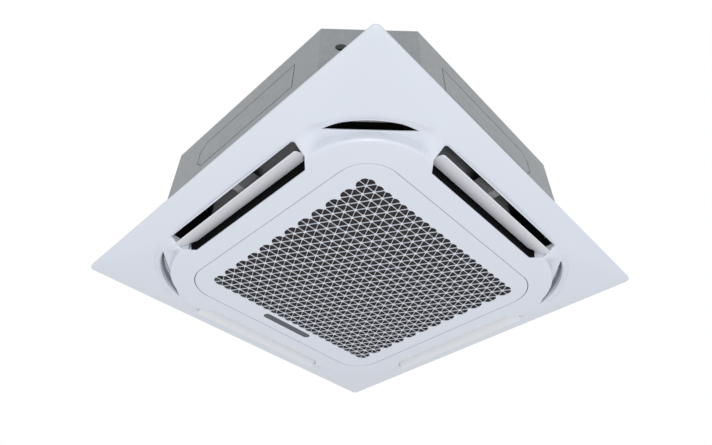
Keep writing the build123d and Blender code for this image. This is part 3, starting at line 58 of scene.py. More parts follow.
# ---------------------------------------------------------------- camera, floor and light
IMAGE_WIDTH = 712                # pixels
FOCAL_PIXELS = 567.1
VIEW_AZIMUTH = math.radians(43.85)       # direction of view in plan, from +X
VIEW_ELEVATION = math.radians(41.69)     # looking up
VIEW_ROLL = math.radians(0.58)
VIEW_DISTANCE = 1409.9           # along the view, to the fan's axis at the ceiling
VIEW_RIGHT = 14.4                # that point's place to the right of and above the middle of the view
VIEW_UP = -123.5
SENSOR = 36.0
FLOOR_SIZE = 24.0                # metres, as all lengths of the studio
FLOOR_HEIGHT = -4.2
FLOOR_GREY = (0.80, 0.80, 0.80)
FLOOR_ROUGHNESS = 0.9
STUDIO_LIGHT = 1.0
KEY_PLACE = (-2.2, -2.2, -3.76)  # low down, behind the camera
KEY_AIM = (0, 0, -0.15)
KEY_SIZE = 0.8
KEY_POWER = 117                  # watts


def make_camera():
    """The photograph's view, from below one corner."""
    forward = Vector((math.cos(VIEW_ELEVATION) * math.cos(VIEW_AZIMUTH),
                      math.cos(VIEW_ELEVATION) * math.sin(VIEW_AZIMUTH), math.sin(VIEW_ELEVATION)))
    level = forward.cross(Vector((0, 0, 1))).normalized()
    upright = level.cross(forward)
    right = level * math.cos(VIEW_ROLL) + upright * math.sin(VIEW_ROLL)
    up = upright * math.cos(VIEW_ROLL) - level * math.sin(VIEW_ROLL)
    place = -forward * VIEW_DISTANCE - right * VIEW_RIGHT - up * VIEW_UP
    data = bpy.data.cameras.new("camera")
    data.sensor_width = SENSOR
    data.lens = FOCAL_PIXELS / IMAGE_WIDTH * SENSOR
    camera = bpy.data.objects.new("camera", data)
    turn = Matrix((right, up, -forward)).transposed().to_4x4()
    camera.matrix_world = Matrix.Translation(metres(*place)) @ turn
    bpy.context.scene.collection.objects.link(camera)
    bpy.context.scene.camera = camera


def make_floor():
    bpy.ops.mesh.primitive_plane_add(size=FLOOR_SIZE, location=(0, 0, FLOOR_HEIGHT))
    floor = bpy.context.object
    floor.name = "floor"
    floor.data.materials.append(new_material("floor", FLOOR_GREY, FLOOR_ROUGHNESS))


def make_world():
    """A white studio, equally bright on all sides."""
    world = bpy.data.worlds.new("studio")
    bpy.context.scene.world = world
    world.use_nodes = True
    nodes, links = world.node_tree.nodes, world.node_tree.links
    nodes.clear()
    out = nodes.new("ShaderNodeOutputWorld")
    background = nodes.new("ShaderNodeBackground")
    background.inputs["Color"].default_value = (1, 1, 1, 1)
    background.inputs["Strength"].default_value = STUDIO_LIGHT
    links.new(background.outputs[0], out.inputs[0])


def area_light(name, place, aim, size, power):
    data = bpy.data.lights.new(name, "AREA")
    data.shape = "SQUARE"
    data.size = size
    data.energy = power
    lamp = bpy.data.objects.new(name, data)
    lamp.location = place
    lamp.rotation_euler = (Vector(aim) - Vector(place)).to_track_quat("-Z", "Y").to_euler()
    bpy.context.scene.collection.objects.link(lamp)


# ---------------------------------------------------------------- materials
# Scales are in cells or waves to a metre. A bump is its strength and its depth in metres, and shades
# are the share by which a pattern's colours lie below and above the plain colour.
PLASTIC_MOTTLE, PLASTIC_GRAIN, PLASTIC_BUMP = 14, 900, (0.25, 0.00003)
ZINC_CRYSTALS, ZINC_MOTTLE, ZINC_BUMP, ZINC_SHADES = 110, 40, (0.08, 0.0001), 0.03
METAL_MOTTLE, METAL_GRAIN, METAL_BUMP = 60, 500, (0.1, 0.00005)
FOAM_CELLS, FOAM_BUMP, FOAM_SHADES = 320, (0.5, 0.0006), 0.15
FIN_WAVES, FIN_BUMP = 150, (0.6, 0.0008)
FIN_TINTS = ((0.50, 0.51, 0.54), (0.93, 0.94, 0.96))
NET_THREADS, NET_GAP, NET_BUMP = 300, 0.22, (0.5, 0.0003)
NET_TINTS = ((0.008, 0.007, 0.008), (0.03, 0.026, 0.028))
NOISE_DETAIL = 3.0
TINT_ENDS = (0.3, 0.7)           # where a pattern reaches its two colours
GROOVE = (0.00025, 0.00095)      # depth below the casing's faces at which the knock-outs' lines lie
# colour of the painted shade in the knock-outs' lines
GROOVE_SHADE_COLOUR = (0.02, 0.022, 0.024)


def shader_of(made):
    return made.node_tree.nodes["Principled BSDF"]


def add_node(made, kind):
    return made.node_tree.nodes.new("ShaderNode" + kind)


def connect(made, source, socket):
    made.node_tree.links.new(source, socket)


def new_material(name, colour, roughness, metallic=0.0):
    made = bpy.data.materials.new(name)
    made.use_nodes = True
    shader = shader_of(made)
    shader.inputs["Base Color"].default_value = (*colour, 1)
    shader.inputs["Roughness"].default_value = roughness
    shader.inputs["Metallic"].default_value = metallic
    return made


def position(made):
    return add_node(made, "TexCoord").outputs["Object"]


def pattern(made, kind, scale):
    """A texture node laid out in the piece's own space."""
    node = add_node(made, kind)
    node.inputs["Scale"].default_value = scale
    connect(made, position(made), node.inputs["Vector"])
    return node


def noise(made, scale):
    node = pattern(made, "TexNoise", scale)
    node.inputs["Detail"].default_value = NOISE_DETAIL
    return node.outputs["Fac"]


def vary(made, source, socket, low, high):
    """Spreads a 0 to 1 pattern over a range of a shader's socket."""
    spread = add_node(made, "MapRange")
    spread.inputs["To Min"].default_value = low
    spread.inputs["To Max"].default_value = high
    connect(made, source, spread.inputs["Value"])
    connect(made, spread.outputs[0], shader_of(made).inputs[socket])


def bump(made, source, strength, depth):
    node = add_node(made, "Bump")
    node.inputs["Strength"].default_value = strength
    node.inputs["Distance"].default_value = depth
    connect(made, source, node.inputs["Height"])
    connect(made, node.outputs[0], shader_of(made).inputs["Normal"])


def tint(made, source, first, second):
    """Colours a pattern from one colour to another."""
    ramp = add_node(made, "ValToRGB")
    for element, place, colour in zip(ramp.color_ramp.elements, TINT_ENDS, (first, second)):
        element.position = place
        element.color = (*colour, 1)
    connect(made, source, ramp.inputs["Fac"])
    connect(made, ramp.outputs[0], shader_of(made).inputs["Base Color"])


def shades(colour, share):
    return [c * (1 - share) for c in colour], [c * (1 + share) for c in colour]


def plastic(name, colour, roughness):
    """Moulded plastic with a fine grain and slightly uneven gloss."""
    made = new_material(name, colour, roughness)
    vary(made, noise(made, PLASTIC_MOTTLE), "Roughness", roughness - 0.05, roughness + 0.06)
    bump(made, noise(made, PLASTIC_GRAIN), *PLASTIC_BUMP)
    return made


def galvanised(name, colour):
    """Zinc-coated sheet: crystals of slightly different grey, uneven gloss and painted shade in its grooves.
    """
    made = new_material(name, colour, 0.5, metallic=0.35)
    crystals = pattern(made, "TexVoronoi", ZINC_CRYSTALS)
    tint(made, crystals.outputs["Color"], *shades(colour, ZINC_SHADES))
    vary(made, noise(made, ZINC_MOTTLE), "Roughness", 0.36, 0.5)
    bump(made, crystals.outputs["Distance"], *ZINC_BUMP)
    paint_groove_shade(made)
    return made


def math_node(made, operation, first, second=None):
    """A Math node; its inputs are sockets or numbers."""
    node = add_node(made, "Math")
    node.operation = operation
    for index, value in enumerate((first, second)):
        if isinstance(value, (int, float)):
            node.inputs[index].default_value = value
        elif value is not None:
            connect(made, value, node.inputs[index])
    return node.outputs[0]


def paint_groove_shade(made):
    """Painted shade: the lines pressed into the casing, which lie just below its eight faces, are coloured
    dark where shade would gather in them.
    """
    shader = shader_of(made)
    plain = shader.inputs["Base Color"].links[0].from_socket
    parts = add_node(made, "SeparateXYZ")
    connect(made, position(made), parts.inputs[0])
    across, along = (math_node(made, "ABSOLUTE", parts.outputs[axis]) for axis in ("X", "Y"))
    half, reach = CASING_HALF / 1000, (2 * CASING_HALF - CASING_CHAMFER) / 1000
    square_depth = math_node(made, "SUBTRACT", half, math_node(made, "MAXIMUM", across, along))
    cut_depth = math_node(made, "SUBTRACT", reach, math_node(made, "ADD", across, along))
    cut_depth = math_node(made, "MULTIPLY", cut_depth, math.sqrt(0.5))
    depth = math_node(made, "MINIMUM", square_depth, cut_depth)
    # where the painted shade goes: in the lines just below the faces
    inside = math_node(made, "MULTIPLY", math_node(made, "GREATER_THAN", depth, GROOVE[0]),
                       math_node(made, "LESS_THAN", depth, GROOVE[1]))
    mix = add_node(made, "Mix")
    mix.data_type = "RGBA"
    mix.inputs["B"].default_value = (*GROOVE_SHADE_COLOUR, 1)
    connect(made, inside, mix.inputs["Factor"])
    connect(made, plain, mix.inputs["A"])
    connect(made, mix.outputs["Result"], shader.inputs["Base Color"])


def metal(name, colour, roughness):
    """Bare metal with a fine grain and uneven gloss."""
    made = new_material(name, colour, roughness, metallic=1.0)
    vary(made, noise(made, METAL_MOTTLE), "Roughness", roughness - 0.06, roughness + 0.1)
    bump(made, noise(made, METAL_GRAIN), *METAL_BUMP)
    return made


def foam(name, colour):
    """Closed-cell foam or bead foam: small cells, quite matt."""
    made = new_material(name, colour, 0.85)
    shader_of(made).inputs["Specular IOR Level"].default_value = 0.05
    cells = pattern(made, "TexVoronoi", FOAM_CELLS)
    bump(made, cells.outputs["Distance"], *FOAM_BUMP)
    tint(made, cells.outputs["Color"], *shades(colour, FOAM_SHADES))
    return made


def fins(name, colour):
    """Thin fins seen edge on: fine stripes, about 4 mm apart along each direction."""
    made = new_material(name, colour, 0.5, metallic=0.2)
    wave = pattern(made, "TexWave", FIN_WAVES)
    wave.bands_direction = "DIAGONAL"
    wave.inputs["Distortion"].default_value = 0.0
    bump(made, wave.outputs["Fac"], *FIN_BUMP)
    tint(made, wave.outputs["Fac"], *FIN_TINTS)
    return made


def net(name, colour):
    """Fine woven filter net, seen almost black."""
    made = new_material(name, colour, 0.9)
    shader_of(made).inputs["Specular IOR Level"].default_value = 0.1
    weave = pattern(made, "TexBrick", NET_THREADS)
    weave.offset = 0.0
    weave.inputs["Mortar Size"].default_value = NET_GAP
    tint(made, weave.outputs["Fac"], *NET_TINTS)
    bump(made, weave.outputs["Fac"], *NET_BUMP)
    return made


# How each finish is made, its colour and, except for foam, fins and net, its roughness.
FINISHES = {
    "panel_white": (plastic, (0.515, 0.547, 0.608), 0.42),
    "louvre_white": (plastic, (0.55, 0.565, 0.60), 0.42),
    "white_plastic": (plastic, (0.78, 0.78, 0.77), 0.45),
    "galvanised_steel": (galvanised, (0.222, 0.238, 0.250)),
    "zinc_screws": (metal, (0.62, 0.62, 0.58), 0.35),
    "bright_steel": (metal, (0.68, 0.68, 0.68), 0.25),
    "grey_foam": (foam, (0.10, 0.10, 0.105)),
    # near black; on the thin linings of the outlets and ducts it also paints their shade
    "dark_foam": (foam, (0.004, 0.004, 0.0045)),
    "pan_foam": (foam, (0.31, 0.31, 0.325)),
    "black_rubber": (plastic, (0.02, 0.02, 0.02), 0.7),
    "black_plastic": (plastic, (0.025, 0.025, 0.028), 0.45),
    "motor_housing": (metal, (0.42, 0.43, 0.44), 0.4),
    "fan_plastic": (plastic, (0.35, 0.36, 0.35), 0.5),
    "fin_aluminium": (fins, (0.55, 0.60, 0.64)),
    "copper": (metal, (0.72, 0.36, 0.20), 0.28),
    "brass": (metal, (0.72, 0.55, 0.25), 0.3),
    "clear_hose": (plastic, (0.55, 0.55, 0.52), 0.3),
    "circuit_board": (plastic, (0.03, 0.15, 0.07), 0.4),
    "cream_plastic": (plastic, (0.70, 0.64, 0.48), 0.45),
    "filter_plastic": (plastic, (0.03, 0.032, 0.036), 0.5),
    "filter_net": (net, (0.02, 0.02, 0.02)),
    "display_lens": (plastic, (0.045, 0.052, 0.065), 0.25),
}


def make_materials():
    return {name: make(name, *values) for name, (make, *values) in FINISHES.items()}


def dress_nodes(finishes):
    slots = {part["node"]: part["material_slot"] for part in frame["record"]["subparts"]}
    for name, piece in frame["nodes"].items():
        piece.data.materials.clear()
        piece.data.materials.append(finishes[slots[name]])


# ---------------------------------------------------------------- meshes
def link_mesh(name, points, faces, finishes, body, slot):
    mesh = bpy.data.meshes.new(name)
    mesh.from_pydata([metres(*point) for point in points], [], faces)
    mesh.validate()
    mesh.materials.append(finishes[slot])
    piece = bpy.data.objects.new(name, mesh)
    bpy.context.scene.collection.objects.link(piece)
    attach(piece, body)
    return piece


# ---------------------------------------------------------------- intake grille
GRILLE_HALF = 308.0
GRILLE_R = 78.0
GRILLE_FRONT = -45.0             # face of the cover
GRILLE_EDGE = 2.0                # rounding of its edge
PITCH = 24.6                     # of the lattice of ribs
ROW_HEIGHT = PITCH * math.sqrt(3) / 2
ROWS = 23
ROW_NODES = 21                   # in the first row, one less in the next
LATTICE_Y = -7.0                 # middle of the lattice
RIB = 1.0                        # width of a rib
RIB_BACK = -43.2                 # back of the ribs; the cover's border is thicker
WHEEL_R = ROW_HEIGHT             # radius of the arcs that close the lattice's outermost holes
HOLE_ROUND = 2.4                 # rounding of the holes' corners
END_ROUND = HOLE_ROUND * 0.8     # and of the holes at the lattice's edge
EDGE_HEIGHT = 0.7071 / 0.8660    # share of a triangle's height that is left of a hole at the edge
EDGE_SHARE = 0.94                # most of the way to the missing corner that such a hole reaches
EDGE_GAP = 0.5                   # share of a rib's gap that is kept at the cut side
ARC_GAP = 0.35                   # and at the arcs
SECTOR_STEPS = 6                 # points along an arc
HOLE_STEPS = 3                   # points along a hole's corner
ROUND_MOST = 0.45                # largest share of a side that the rounding of a corner takes
WINDOW = (-4.0, 269.0, 156.0, 20.0)      # middle, length and width of the display's slot
SQUARE_STEPS = 24                # points along a rounded square's corner
SLOT_STEPS = 10
# The cover's levels, from its face to its back: height of the border over the face, share of the ribs'
# thickness, share of the edge's rounding, and what is added to the gap at the ribs and at the slot.
COVER_LEVELS = ((0.0, 0.0, 1.0, -0.1, 0.5), (0.5, 0.2, 0.4, 0.0, 0.0), (1.2, 0.5, 0.1, 0.05, 0.0),
                (2.0, 0.8, 0.0, 0.1, 0.0), (3.0, 1.0, 0.0, 0.15, 0.0))


def lattice_nodes():
    """Places where the ribs meet, in rows that take turns to be one node shorter."""
    nodes = set()
    for row in range(ROWS):
        y = LATTICE_Y + (row - (ROWS - 1) / 2) * ROW_HEIGHT
        count = ROW_NODES - row % 2
        for column in range(count):
            nodes.add((round((column - (count - 1) / 2) * PITCH, 3), round(y, 3)))
    return nodes


def rounded(corners, radius, steps=HOLE_STEPS):
    """Rounds the corners of a convex outline, each with the same count of points."""
    outline = []
    count = len(corners)
    for index, corner in enumerate(corners):
        before, after = corners[index - 1], corners[(index + 1) % count]
        to_before, to_after = (before - corner).normalized(), (after - corner).normalized()
        half = to_before.angle(to_after) / 2
        reach = min(radius / math.tan(half), (before - corner).length * ROUND_MOST,
                    (after - corner).length * ROUND_MOST)
        start, end = corner + to_before * reach, corner + to_after * reach
        for step in range(steps + 1):
            t = step / steps
            outline.append(start * (1 - t) ** 2 + corner * 2 * t * (1 - t) + end * t ** 2)
    return outline


def inset_lines(corners, gap):
    """Moves each side of a convex outline inwards by a gap and gives the new corners."""
    count = len(corners)
    lines = []
    for index in range(count):
        a, b = corners[index], corners[(index + 1) % count]
        along = (b - a).normalized()
        inward = Vector((-along.y, along.x))
        lines.append((a + inward * gap, along))
    moved = []
    for index in range(count):
        (p, u), (q, v) = lines[index - 1], lines[index]
        cross = u.x * v.y - u.y * v.x
        t = ((q.x - p.x) * v.y - (q.y - p.y) * v.x) / cross
        moved.append(p + u * t)
    return moved


def hole_outline(kind, corners, gap):
    """A hole of the grille, its ribs' sides set back by gap. Corners run anticlockwise."""
    inner = inset_lines(corners, gap)
    if kind == "triangle":
        return rounded(inner, HOLE_ROUND)
    if kind == "edge":           # the third corner lies outside the lattice and is cut off
        a, b, missing = corners
        foot = (a + b) / 2
        top = foot + (missing - foot) * EDGE_HEIGHT
        reach = (top - foot).length - gap * EDGE_GAP
        tip = inner[2]
        share = min(EDGE_SHARE, (reach - gap) / (tip - (inner[0] + inner[1]) / 2).length)
        left, right = inner[0].lerp(tip, share), inner[1].lerp(tip, share)
        return rounded([inner[0], inner[1], right, left], END_ROUND)
    apex, first, _ = corners     # a sector of the wheel round one node
    start = math.atan2(first.y - apex.y, first.x - apex.x)
    radius = WHEEL_R - gap * ARC_GAP
    side = math.asin(gap / radius)
    outline = [inner[0]]
    for step in range(SECTOR_STEPS + 1):
        angle = start + side + (math.pi / 3 - 2 * side) * step / SECTOR_STEPS
        outline.append(apex + Vector((math.cos(angle), math.sin(angle))) * radius)
    soft = rounded([outline[0], outline[1], outline[-1]], END_ROUND)
    return soft[:8] + outline[3:-2] + soft[8:]


def grille_holes():
    """Every hole as (kind, corners), from the six sectors round each lattice node."""
    nodes = lattice_nodes()
    seen, holes = set(), []
    for x, y in sorted(nodes):
        for sector in range(6):
            around = []
            for turn in (sector, sector + 1):
                angle = math.radians(60 * turn)
                around.append((round(x + PITCH * math.cos(angle), 3), round(y + PITCH * math.sin(angle), 3)))
            present = [is_node(point, nodes) for point in around]
            corners = [Vector((x, y)), Vector(around[0]), Vector(around[1])]
            if any(present):
                kind = "triangle" if all(present) else "edge"
                if not present[0]:
                    corners = [corners[2], corners[0], corners[1]]
                key = tuple(sorted((round(c.x), round(c.y)) for c in corners))
            else:
                kind = "sector"
                key = (round(x), round(y), sector)
            if key not in seen:
                seen.add(key)
                holes.append((kind, corners))
    return holes


def is_node(point, nodes):
    """Whether a place is one of the nodes, give or take a rounding."""
    return any((round(point[0] + dx, 3), round(point[1] + dy, 3)) in nodes
               for dx in (-0.001, 0, 0.001) for dy in (-0.001, 0, 0.001))


def rounded_square(half, radius, steps=SQUARE_STEPS):
    outline = []
    for turn in range(4):
        middle = math.radians(90 * turn)
        cx = (half - radius) * (1 if turn in (0, 3) else -1)
        cy = (half - radius) * (1 if turn in (0, 1) else -1)
        for step in range(steps + 1):
            angle = middle + math.pi / 2 * step / steps
            outline.append(Vector((cx + radius * math.cos(angle), cy + radius * math.sin(angle))))
    return outline


def slot_outline(x, y, length, width):
    outline = []
    reach = (length - width) / 2
    for side, start in ((1, -math.pi / 2), (-1, math.pi / 2)):
        for step in range(SLOT_STEPS + 1):
            angle = start + math.pi * step / SLOT_STEPS
            outline.append(Vector((x + side * reach + math.cos(angle) * width / 2,
                                   y + math.sin(angle) * width / 2)))
    return outline


def index_rings(sizes):
    """Lists of the indices of points that are laid end to end, one list for each ring."""
    rings, at = [], 0
    for size in sizes:
        rings.append(list(range(at, at + size)))
        at += size
    return rings


def triangulated(plan, rings, outlines):
    """Triangles over plan points, as lists of their indices. The first ring is the outer edge, the
    others are holes, and a triangle that lies wholly in one hole is left out."""
    edges = [(ring[i], ring[(i + 1) % len(ring)]) for ring in rings for i in range(len(ring))]
    _, _, triangles, origin, _, _ = delaunay_2d_cdt(plan, edges, outlines, 1, 1e-6)
    source = [found[0] if found else None for found in origin]
    owner = {index: number for number, ring in enumerate(rings) for index in ring}
    kept = []
    for triangle in triangles:
        face = [source[index] for index in triangle]
        owners = {owner.get(index) for index in face}
        in_hole = len(owners) == 1 and not owners & {0, None}
        if None not in face and not in_hole:
            kept.append(face)
    return kept


def plate_with_holes(levels):
    """A plate from matching sets of loops at several levels: the first loop of each set is the outer
    edge, the second the slot, the others are holes. A level is a height of the border and one of the
    ribs. The first and last sets are closed with faces."""
    points, faces, starts = [], [], []
    for (border, ribs), loops in levels:
        starts.append(len(points))
        for number, loop in enumerate(loops):
            points += [(p.x, p.y, ribs if number > 1 else border) for p in loop]
    first_loops = levels[0][1]
    rings = index_rings([len(loop) for loop in first_loops])
    flat = [p for loop in first_loops for p in loop]
    for face in triangulated(flat, rings, [rings[0]] + [ring[::-1] for ring in rings[1:]]):
        faces.append(face[::-1])
        faces.append([starts[-1] + index for index in face])
    for low, high in zip(starts, starts[1:]):
        for number, ring in enumerate(rings):
            for i in range(len(ring)):
                a, b = ring[i], ring[(i + 1) % len(ring)]
                face = [low + a, low + b, high + b, high + a]
                faces.append(face if number == 0 else face[::-1])
    return points, faces


def make_grille(finishes):
    """The grille's cover: a border with the display's slot, and the lattice of ribs."""
    holes = grille_holes()
    x, y, length, width = WINDOW
    levels = []
    for rise, share, edge_share, rib_gap, slot_gap in COVER_LEVELS:
        edge = GRILLE_EDGE * edge_share
        loops = [rounded_square(GRILLE_HALF - edge, GRILLE_R - edge),
                 slot_outline(x, y, length + 2 * slot_gap, width + 2 * slot_gap)]
        loops += [hole_outline(kind, corners, RIB / 2 + rib_gap) for kind, corners in holes]
        levels.append(((GRILLE_FRONT + rise, GRILLE_FRONT + (RIB_BACK - GRILLE_FRONT) * share), loops))
    points, faces = plate_with_holes(levels)
    return link_mesh("intake_grille_cover", points, faces, finishes, "intake_grille", "panel_white")


# ---------------------------------------------------------------- panel
SKIN = 3.0                               # thickness of the moulding
# Half width, corner radius and lower side of the panel's four nested outlines, from its edge inwards.
OUTLINES = ((475.0, 12.0, -6.0), (411.0, 230.0, -24.0), (376.0, 168.0, -42.0), (309.5, 79.5, -45.0))
SOFTEN = (0.0, 0.16, 0.22, 0.0)          # share of the step on each side over which a crease is softened
MOAT = (421.0, 228.0)                    # rounded square inside which the skin rises into the corners' moats
MOAT_STEP = 0.8                          # height and width of the step at a moat's outer line
MOAT_RISE = 1.0                          # further rise of its hollow floor
MOAT_HOLLOW = 13.0                       # and how far inside the line the floor is highest
MOAT_FADE = (85.0, 130.0)                # distances from the diagonal between which a moat fades out
MOAT_STEPS = 40                          # points along a corner of its line
WALL_FROM = 0.9                          # share of the slope at which the raised middle's side starts there
WALL_ROUND = 6.0                         # rounding of its edge
WALL_ROUND_RINGS = (0.0, 0.4, 1.2, 2.5, 4.2, 6.0)    # distances inside the edge of the skin's points
WALL_LEVELS = (1.65, 2.25)               # levels at which the skin's points lie in line, for a clean side
WALL_BARE = (1.95, 2.15)                 # and those at which the points round the edge take their place
WALL_STEPS = 84
RIM_ROUND = 1.6                          # rounding of the panel's outer edge
GRILLE_LIP = 0.8                         # and of the edge beside the grille
SEAT = 6.0                               # height of the seat under the casing
SEAT_WIDTH = 8.0
SEAT_PARTS = 24                          # points along each side of the seat
SEAT_GAP = 0.42                          # half its run over a corner outlet, as a share of CORNER_ARC
POCKET = ((325.0, 95.0), (328.0, 98.0))  # inner and outer side of the wall round the grille's pocket
INTAKE = ((289.0, 59.0), (292.0, 62.0))  # and of the wall round the intake
POCKET_TOP = -22.0
INTAKE_TOP = 9.0
HINGE_X = 200.0
LUG_NEAR, LUG_FAR = 4.3, 7.3             # sides of a hinge lug, from the middle of its pin
LUG_FROM = 317.5
LUG_LOW, LUG_HIGH = -43.5, -34.5
OUTLET_HALF = 205.0                      # the back outlet: half its length, its far and its near side
OUTLET_OUTER = 409.0
OUTLET_INNER = 355.0
OUTLET_CUT = 24.0                        # leg of its cut-off corners
OUTLET_ROUND = 7.0
OUTLET_ROUND_SHARE = 0.98                # share of that rounding, as drawn
OUTLET_ROUND_STEPS = 6
OUTLET_LIPS = (2.2, 6.0, 11.0)           # rounding into the outlet: inner side, outer side and its middle
OUTLET_STEP = 9.0                        # spacing of points along an outlet's straight sides
INNER_RISE = 0.6                         # height of the wall above the lip on the inner side
CORNER_CENTRE = 181.0 * math.sqrt(2)     # middle of the corner outlet's arc, along the diagonal
CORNER_ARC = 229.0
CORNER_CHORD = 466.0
CORNER_LIP = 1.2
CORNER_LIP_WIDEST = 12.0                 # in the middle of the arc
CORNER_COLLAR = -22.0                    # top of the wall along the chord
COLLAR_RISE = 0.5                        # and its least height above the skin
CORNER_ROOF = 2.0                        # top of the wall along the arc
CORNER_STEPS = 40                        # points along a corner outlet's arc, and along its chord
COLLAR_FROM = 369.0                      # collars stand outside this line, foam liners inside it
WALL_SUNK = 1.0                          # depth to which the walls' feet reach into the skin
LIP_STEPS = 5
SKIN_STEP = 9.0                          # spacing of points over the skin's corners
STRAIGHT_STEP = SKIN_STEP * 1.3          # and along its straight runs
RING_STEP = 60.0                         # spacing along the straight runs of the edges' rings
RINGS_PER_STEP = 10
FEWEST_STEPS = 6                         # points along a corner of the smallest rings
QUARTER_TURN = 1.57                      # radians
HALVINGS = 26                            # in the search for a point's level
HOLE_MARGIN = SKIN_STEP * 0.12           # points nearer to an opening's edge than this are left out
HOLE_BOX = 4.0                           # margin of the first, coarse test for that
RIM_MARGIN = 3.0                         # and so are those nearer to the rim
SMOOTH_LIMIT = 34                        # degrees
WELD = 0.00002                           # metres


def eased(share):
    """A rise from 0 to 1 that is level at both ends."""
    share = min(1.0, max(0.0, share))
    return share * share * (3 - 2 * share)


def square_at(level):
    """Half width and corner radius at a level from 0, the edge, to 3, the opening for the grille."""
    step = min(int(level), len(OUTLINES) - 2)
    (half, radius, _), (next_half, next_radius, _) = OUTLINES[step], OUTLINES[step + 1]
    share = level - step
    return half + (next_half - half) * share, radius + (next_radius - radius) * share


def outside_square(x, y, half, radius):
    """Distance of a point outside a rounded square, negative inside it."""
    dx, dy = abs(x) - (half - radius), abs(y) - (half - radius)
    return math.hypot(max(dx, 0), max(dy, 0)) + min(max(dx, dy), 0) - radius


def off_diagonal(x, y):
    """Distance of a plan point from the nearer diagonal."""
    return abs(abs(x) - abs(y)) / math.sqrt(2)


def level_at(x, y):
    """Level of the nested outline that runs through a plan point, by halving."""
    low, high = 0.0, len(OUTLINES) - 1.0
    if outside_square(x, y, *square_at(low)) > 0:
        return low
    for _ in range(HALVINGS):
        middle = (low + high) / 2
        if outside_square(x, y, *square_at(middle)) > 0:
            high = middle
        else:
            low = middle
    return low


def moat_lift(x, y, level):
    """Height by which a corner's moat, or the edge beside it, lies above the plain slopes."""
    depth = -outside_square(x, y, *MOAT)
    inside = -outside_square(x, y, *OUTLINES[2][:2])
    aside = off_diagonal(x, y)
    if depth <= 0 or inside >= WALL_ROUND or aside >= MOAT_FADE[1]:
        return 0.0
    share = eased((MOAT_FADE[1] - aside) / (MOAT_FADE[1] - MOAT_FADE[0]))
    if inside >= 0:
        return share * (WALL_ROUND - math.sqrt(WALL_ROUND ** 2 - (WALL_ROUND - inside) ** 2))
    floor = min(MOAT_STEP, depth) + MOAT_RISE * max(0.0, 1 - (depth / MOAT_HOLLOW - 1) ** 2)
    slope = max(0.0, level - 1)
    wall = max(0.0, (slope - WALL_FROM) / (1 - WALL_FROM))
    drop = OUTLINES[1][2] - OUTLINES[2][2]
    return share * (floor * (1 - wall) + drop * (slope - wall) + WALL_ROUND * wall)


def skin_height(x, y):
    """Lower side of the panel's skin, its creases softened by a parabola over a short step."""
    level = level_at(x, y)
    lift = moat_lift(x, y, level)
    heights = [outline[2] for outline in OUTLINES]
    slopes = [b - a for a, b in zip(heights, heights[1:])]
    for crease in range(1, len(heights) - 1):
        reach, off = SOFTEN[crease], level - crease
        if abs(off) < reach:
            before = heights[crease] + slopes[crease - 1] * off
            change = slopes[crease] - slopes[crease - 1]
            return before + change * (off + reach) ** 2 / (4 * reach) + lift
    step = min(int(level), len(slopes) - 1)
    return heights[step] + slopes[step] * (level - step) + lift


def outlet_loop():
    """Plan of the back outlet as points, and at each the direction out of the opening."""
    def outline(grow):
        half, outer, inner = OUTLET_HALF + grow, OUTLET_OUTER + grow, OUTLET_INNER - grow
        cut = OUTLET_CUT + grow * (2 - math.sqrt(2))
        corners = [(half, outer), (-half, outer), (-half, inner + cut), (-half + cut, inner),
                   (half - cut, inner), (half, inner + cut)]
        return rounded([Vector(corner) for corner in corners], (OUTLET_ROUND + grow) * OUTLET_ROUND_SHARE,
                       OUTLET_ROUND_STEPS)

    inside, outside = outline(0.0), outline(1.0)
    points, ways = [], []
    for index, point in enumerate(inside):
        after = (index + 1) % len(inside)
        parts = max(1, round((inside[after] - point).length / OUTLET_STEP))
        for part in range(parts):
            here = point.lerp(inside[after], part / parts)
            points.append(here)
            ways.append(outside[index].lerp(outside[after], part / parts) - here)
    return points, ways


def corner_loop():
    """Plan of the +X corner outlet, an arc cut off by its chord: points, the direction out of it at
    each, and each point's share of the widest lip, which is 1 in the middle of the arc."""
    open_half = math.acos((CORNER_CHORD - CORNER_CENTRE) / CORNER_ARC)
    points, ways, shares = [], [], []
    for step in range(CORNER_STEPS + 1):
        place = 2 * step / CORNER_STEPS - 1
        way = Vector((math.cos(open_half * place), math.sin(open_half * place)))
        points.append(Vector((CORNER_CENTRE, 0)) + way * CORNER_ARC)
        ways.append(way)
        shares.append(1 - place * place)
    start, end = points[-1].copy(), points[0].copy()
    for step in range(1, CORNER_STEPS):
        points.append(start.lerp(end, step / CORNER_STEPS))
        ways.append(Vector((-1, 0)))
        shares.append(0.0)
    ways[0], ways[CORNER_STEPS] = Vector((0, -1)), Vector((0, 1))
    return points, ways, shares


def turned(point, turns):
    """Turns a plan point by quarter turns."""
    angle = math.pi / 2 * turns
    return Vector((point.x * math.cos(angle) - point.y * math.sin(angle),
                   point.x * math.sin(angle) + point.y * math.cos(angle)))


def lip_rounds(points):
    """Rounding at each point of an outlet: generous on the outer side, small on the inner side."""
    small, large, widest = OUTLET_LIPS
    near_side = OUTLET_INNER + OUTLET_CUT
    rounds = []
    for point in points:
        swell = (widest - large) * max(0.0, 1 - (point.x / OUTLET_HALF) ** 2)
        share = eased((point.y - near_side) / (OUTLET_OUTER - near_side))
        rounds.append(small + (large + swell - small) * share)
    return rounds


def raised(points, height):
    """Plan points with a height, given as a number or by each point's place in the skin."""
    return [(p.x, p.y, height(p) if callable(height) else height) for p in points]


def lip_rings(points, ways, rounds, turn):
    """Matched rings over an opening's lip, from the skin to the foot of its wall."""
    rings = []
    for step in range(LIP_STEPS + 1):
        angle = math.pi / 2 * step / LIP_STEPS
        ring = []
        for point, way, radius in zip(points, ways, rounds):
            base = turned(point + way * radius, turn)
            here = turned(point + way * radius * (1 - math.sin(angle)), turn)
            ring.append((here.x, here.y, skin_height(base.x, base.y) + radius * (1 - math.cos(angle))))
        rings.append(ring)
    return rings


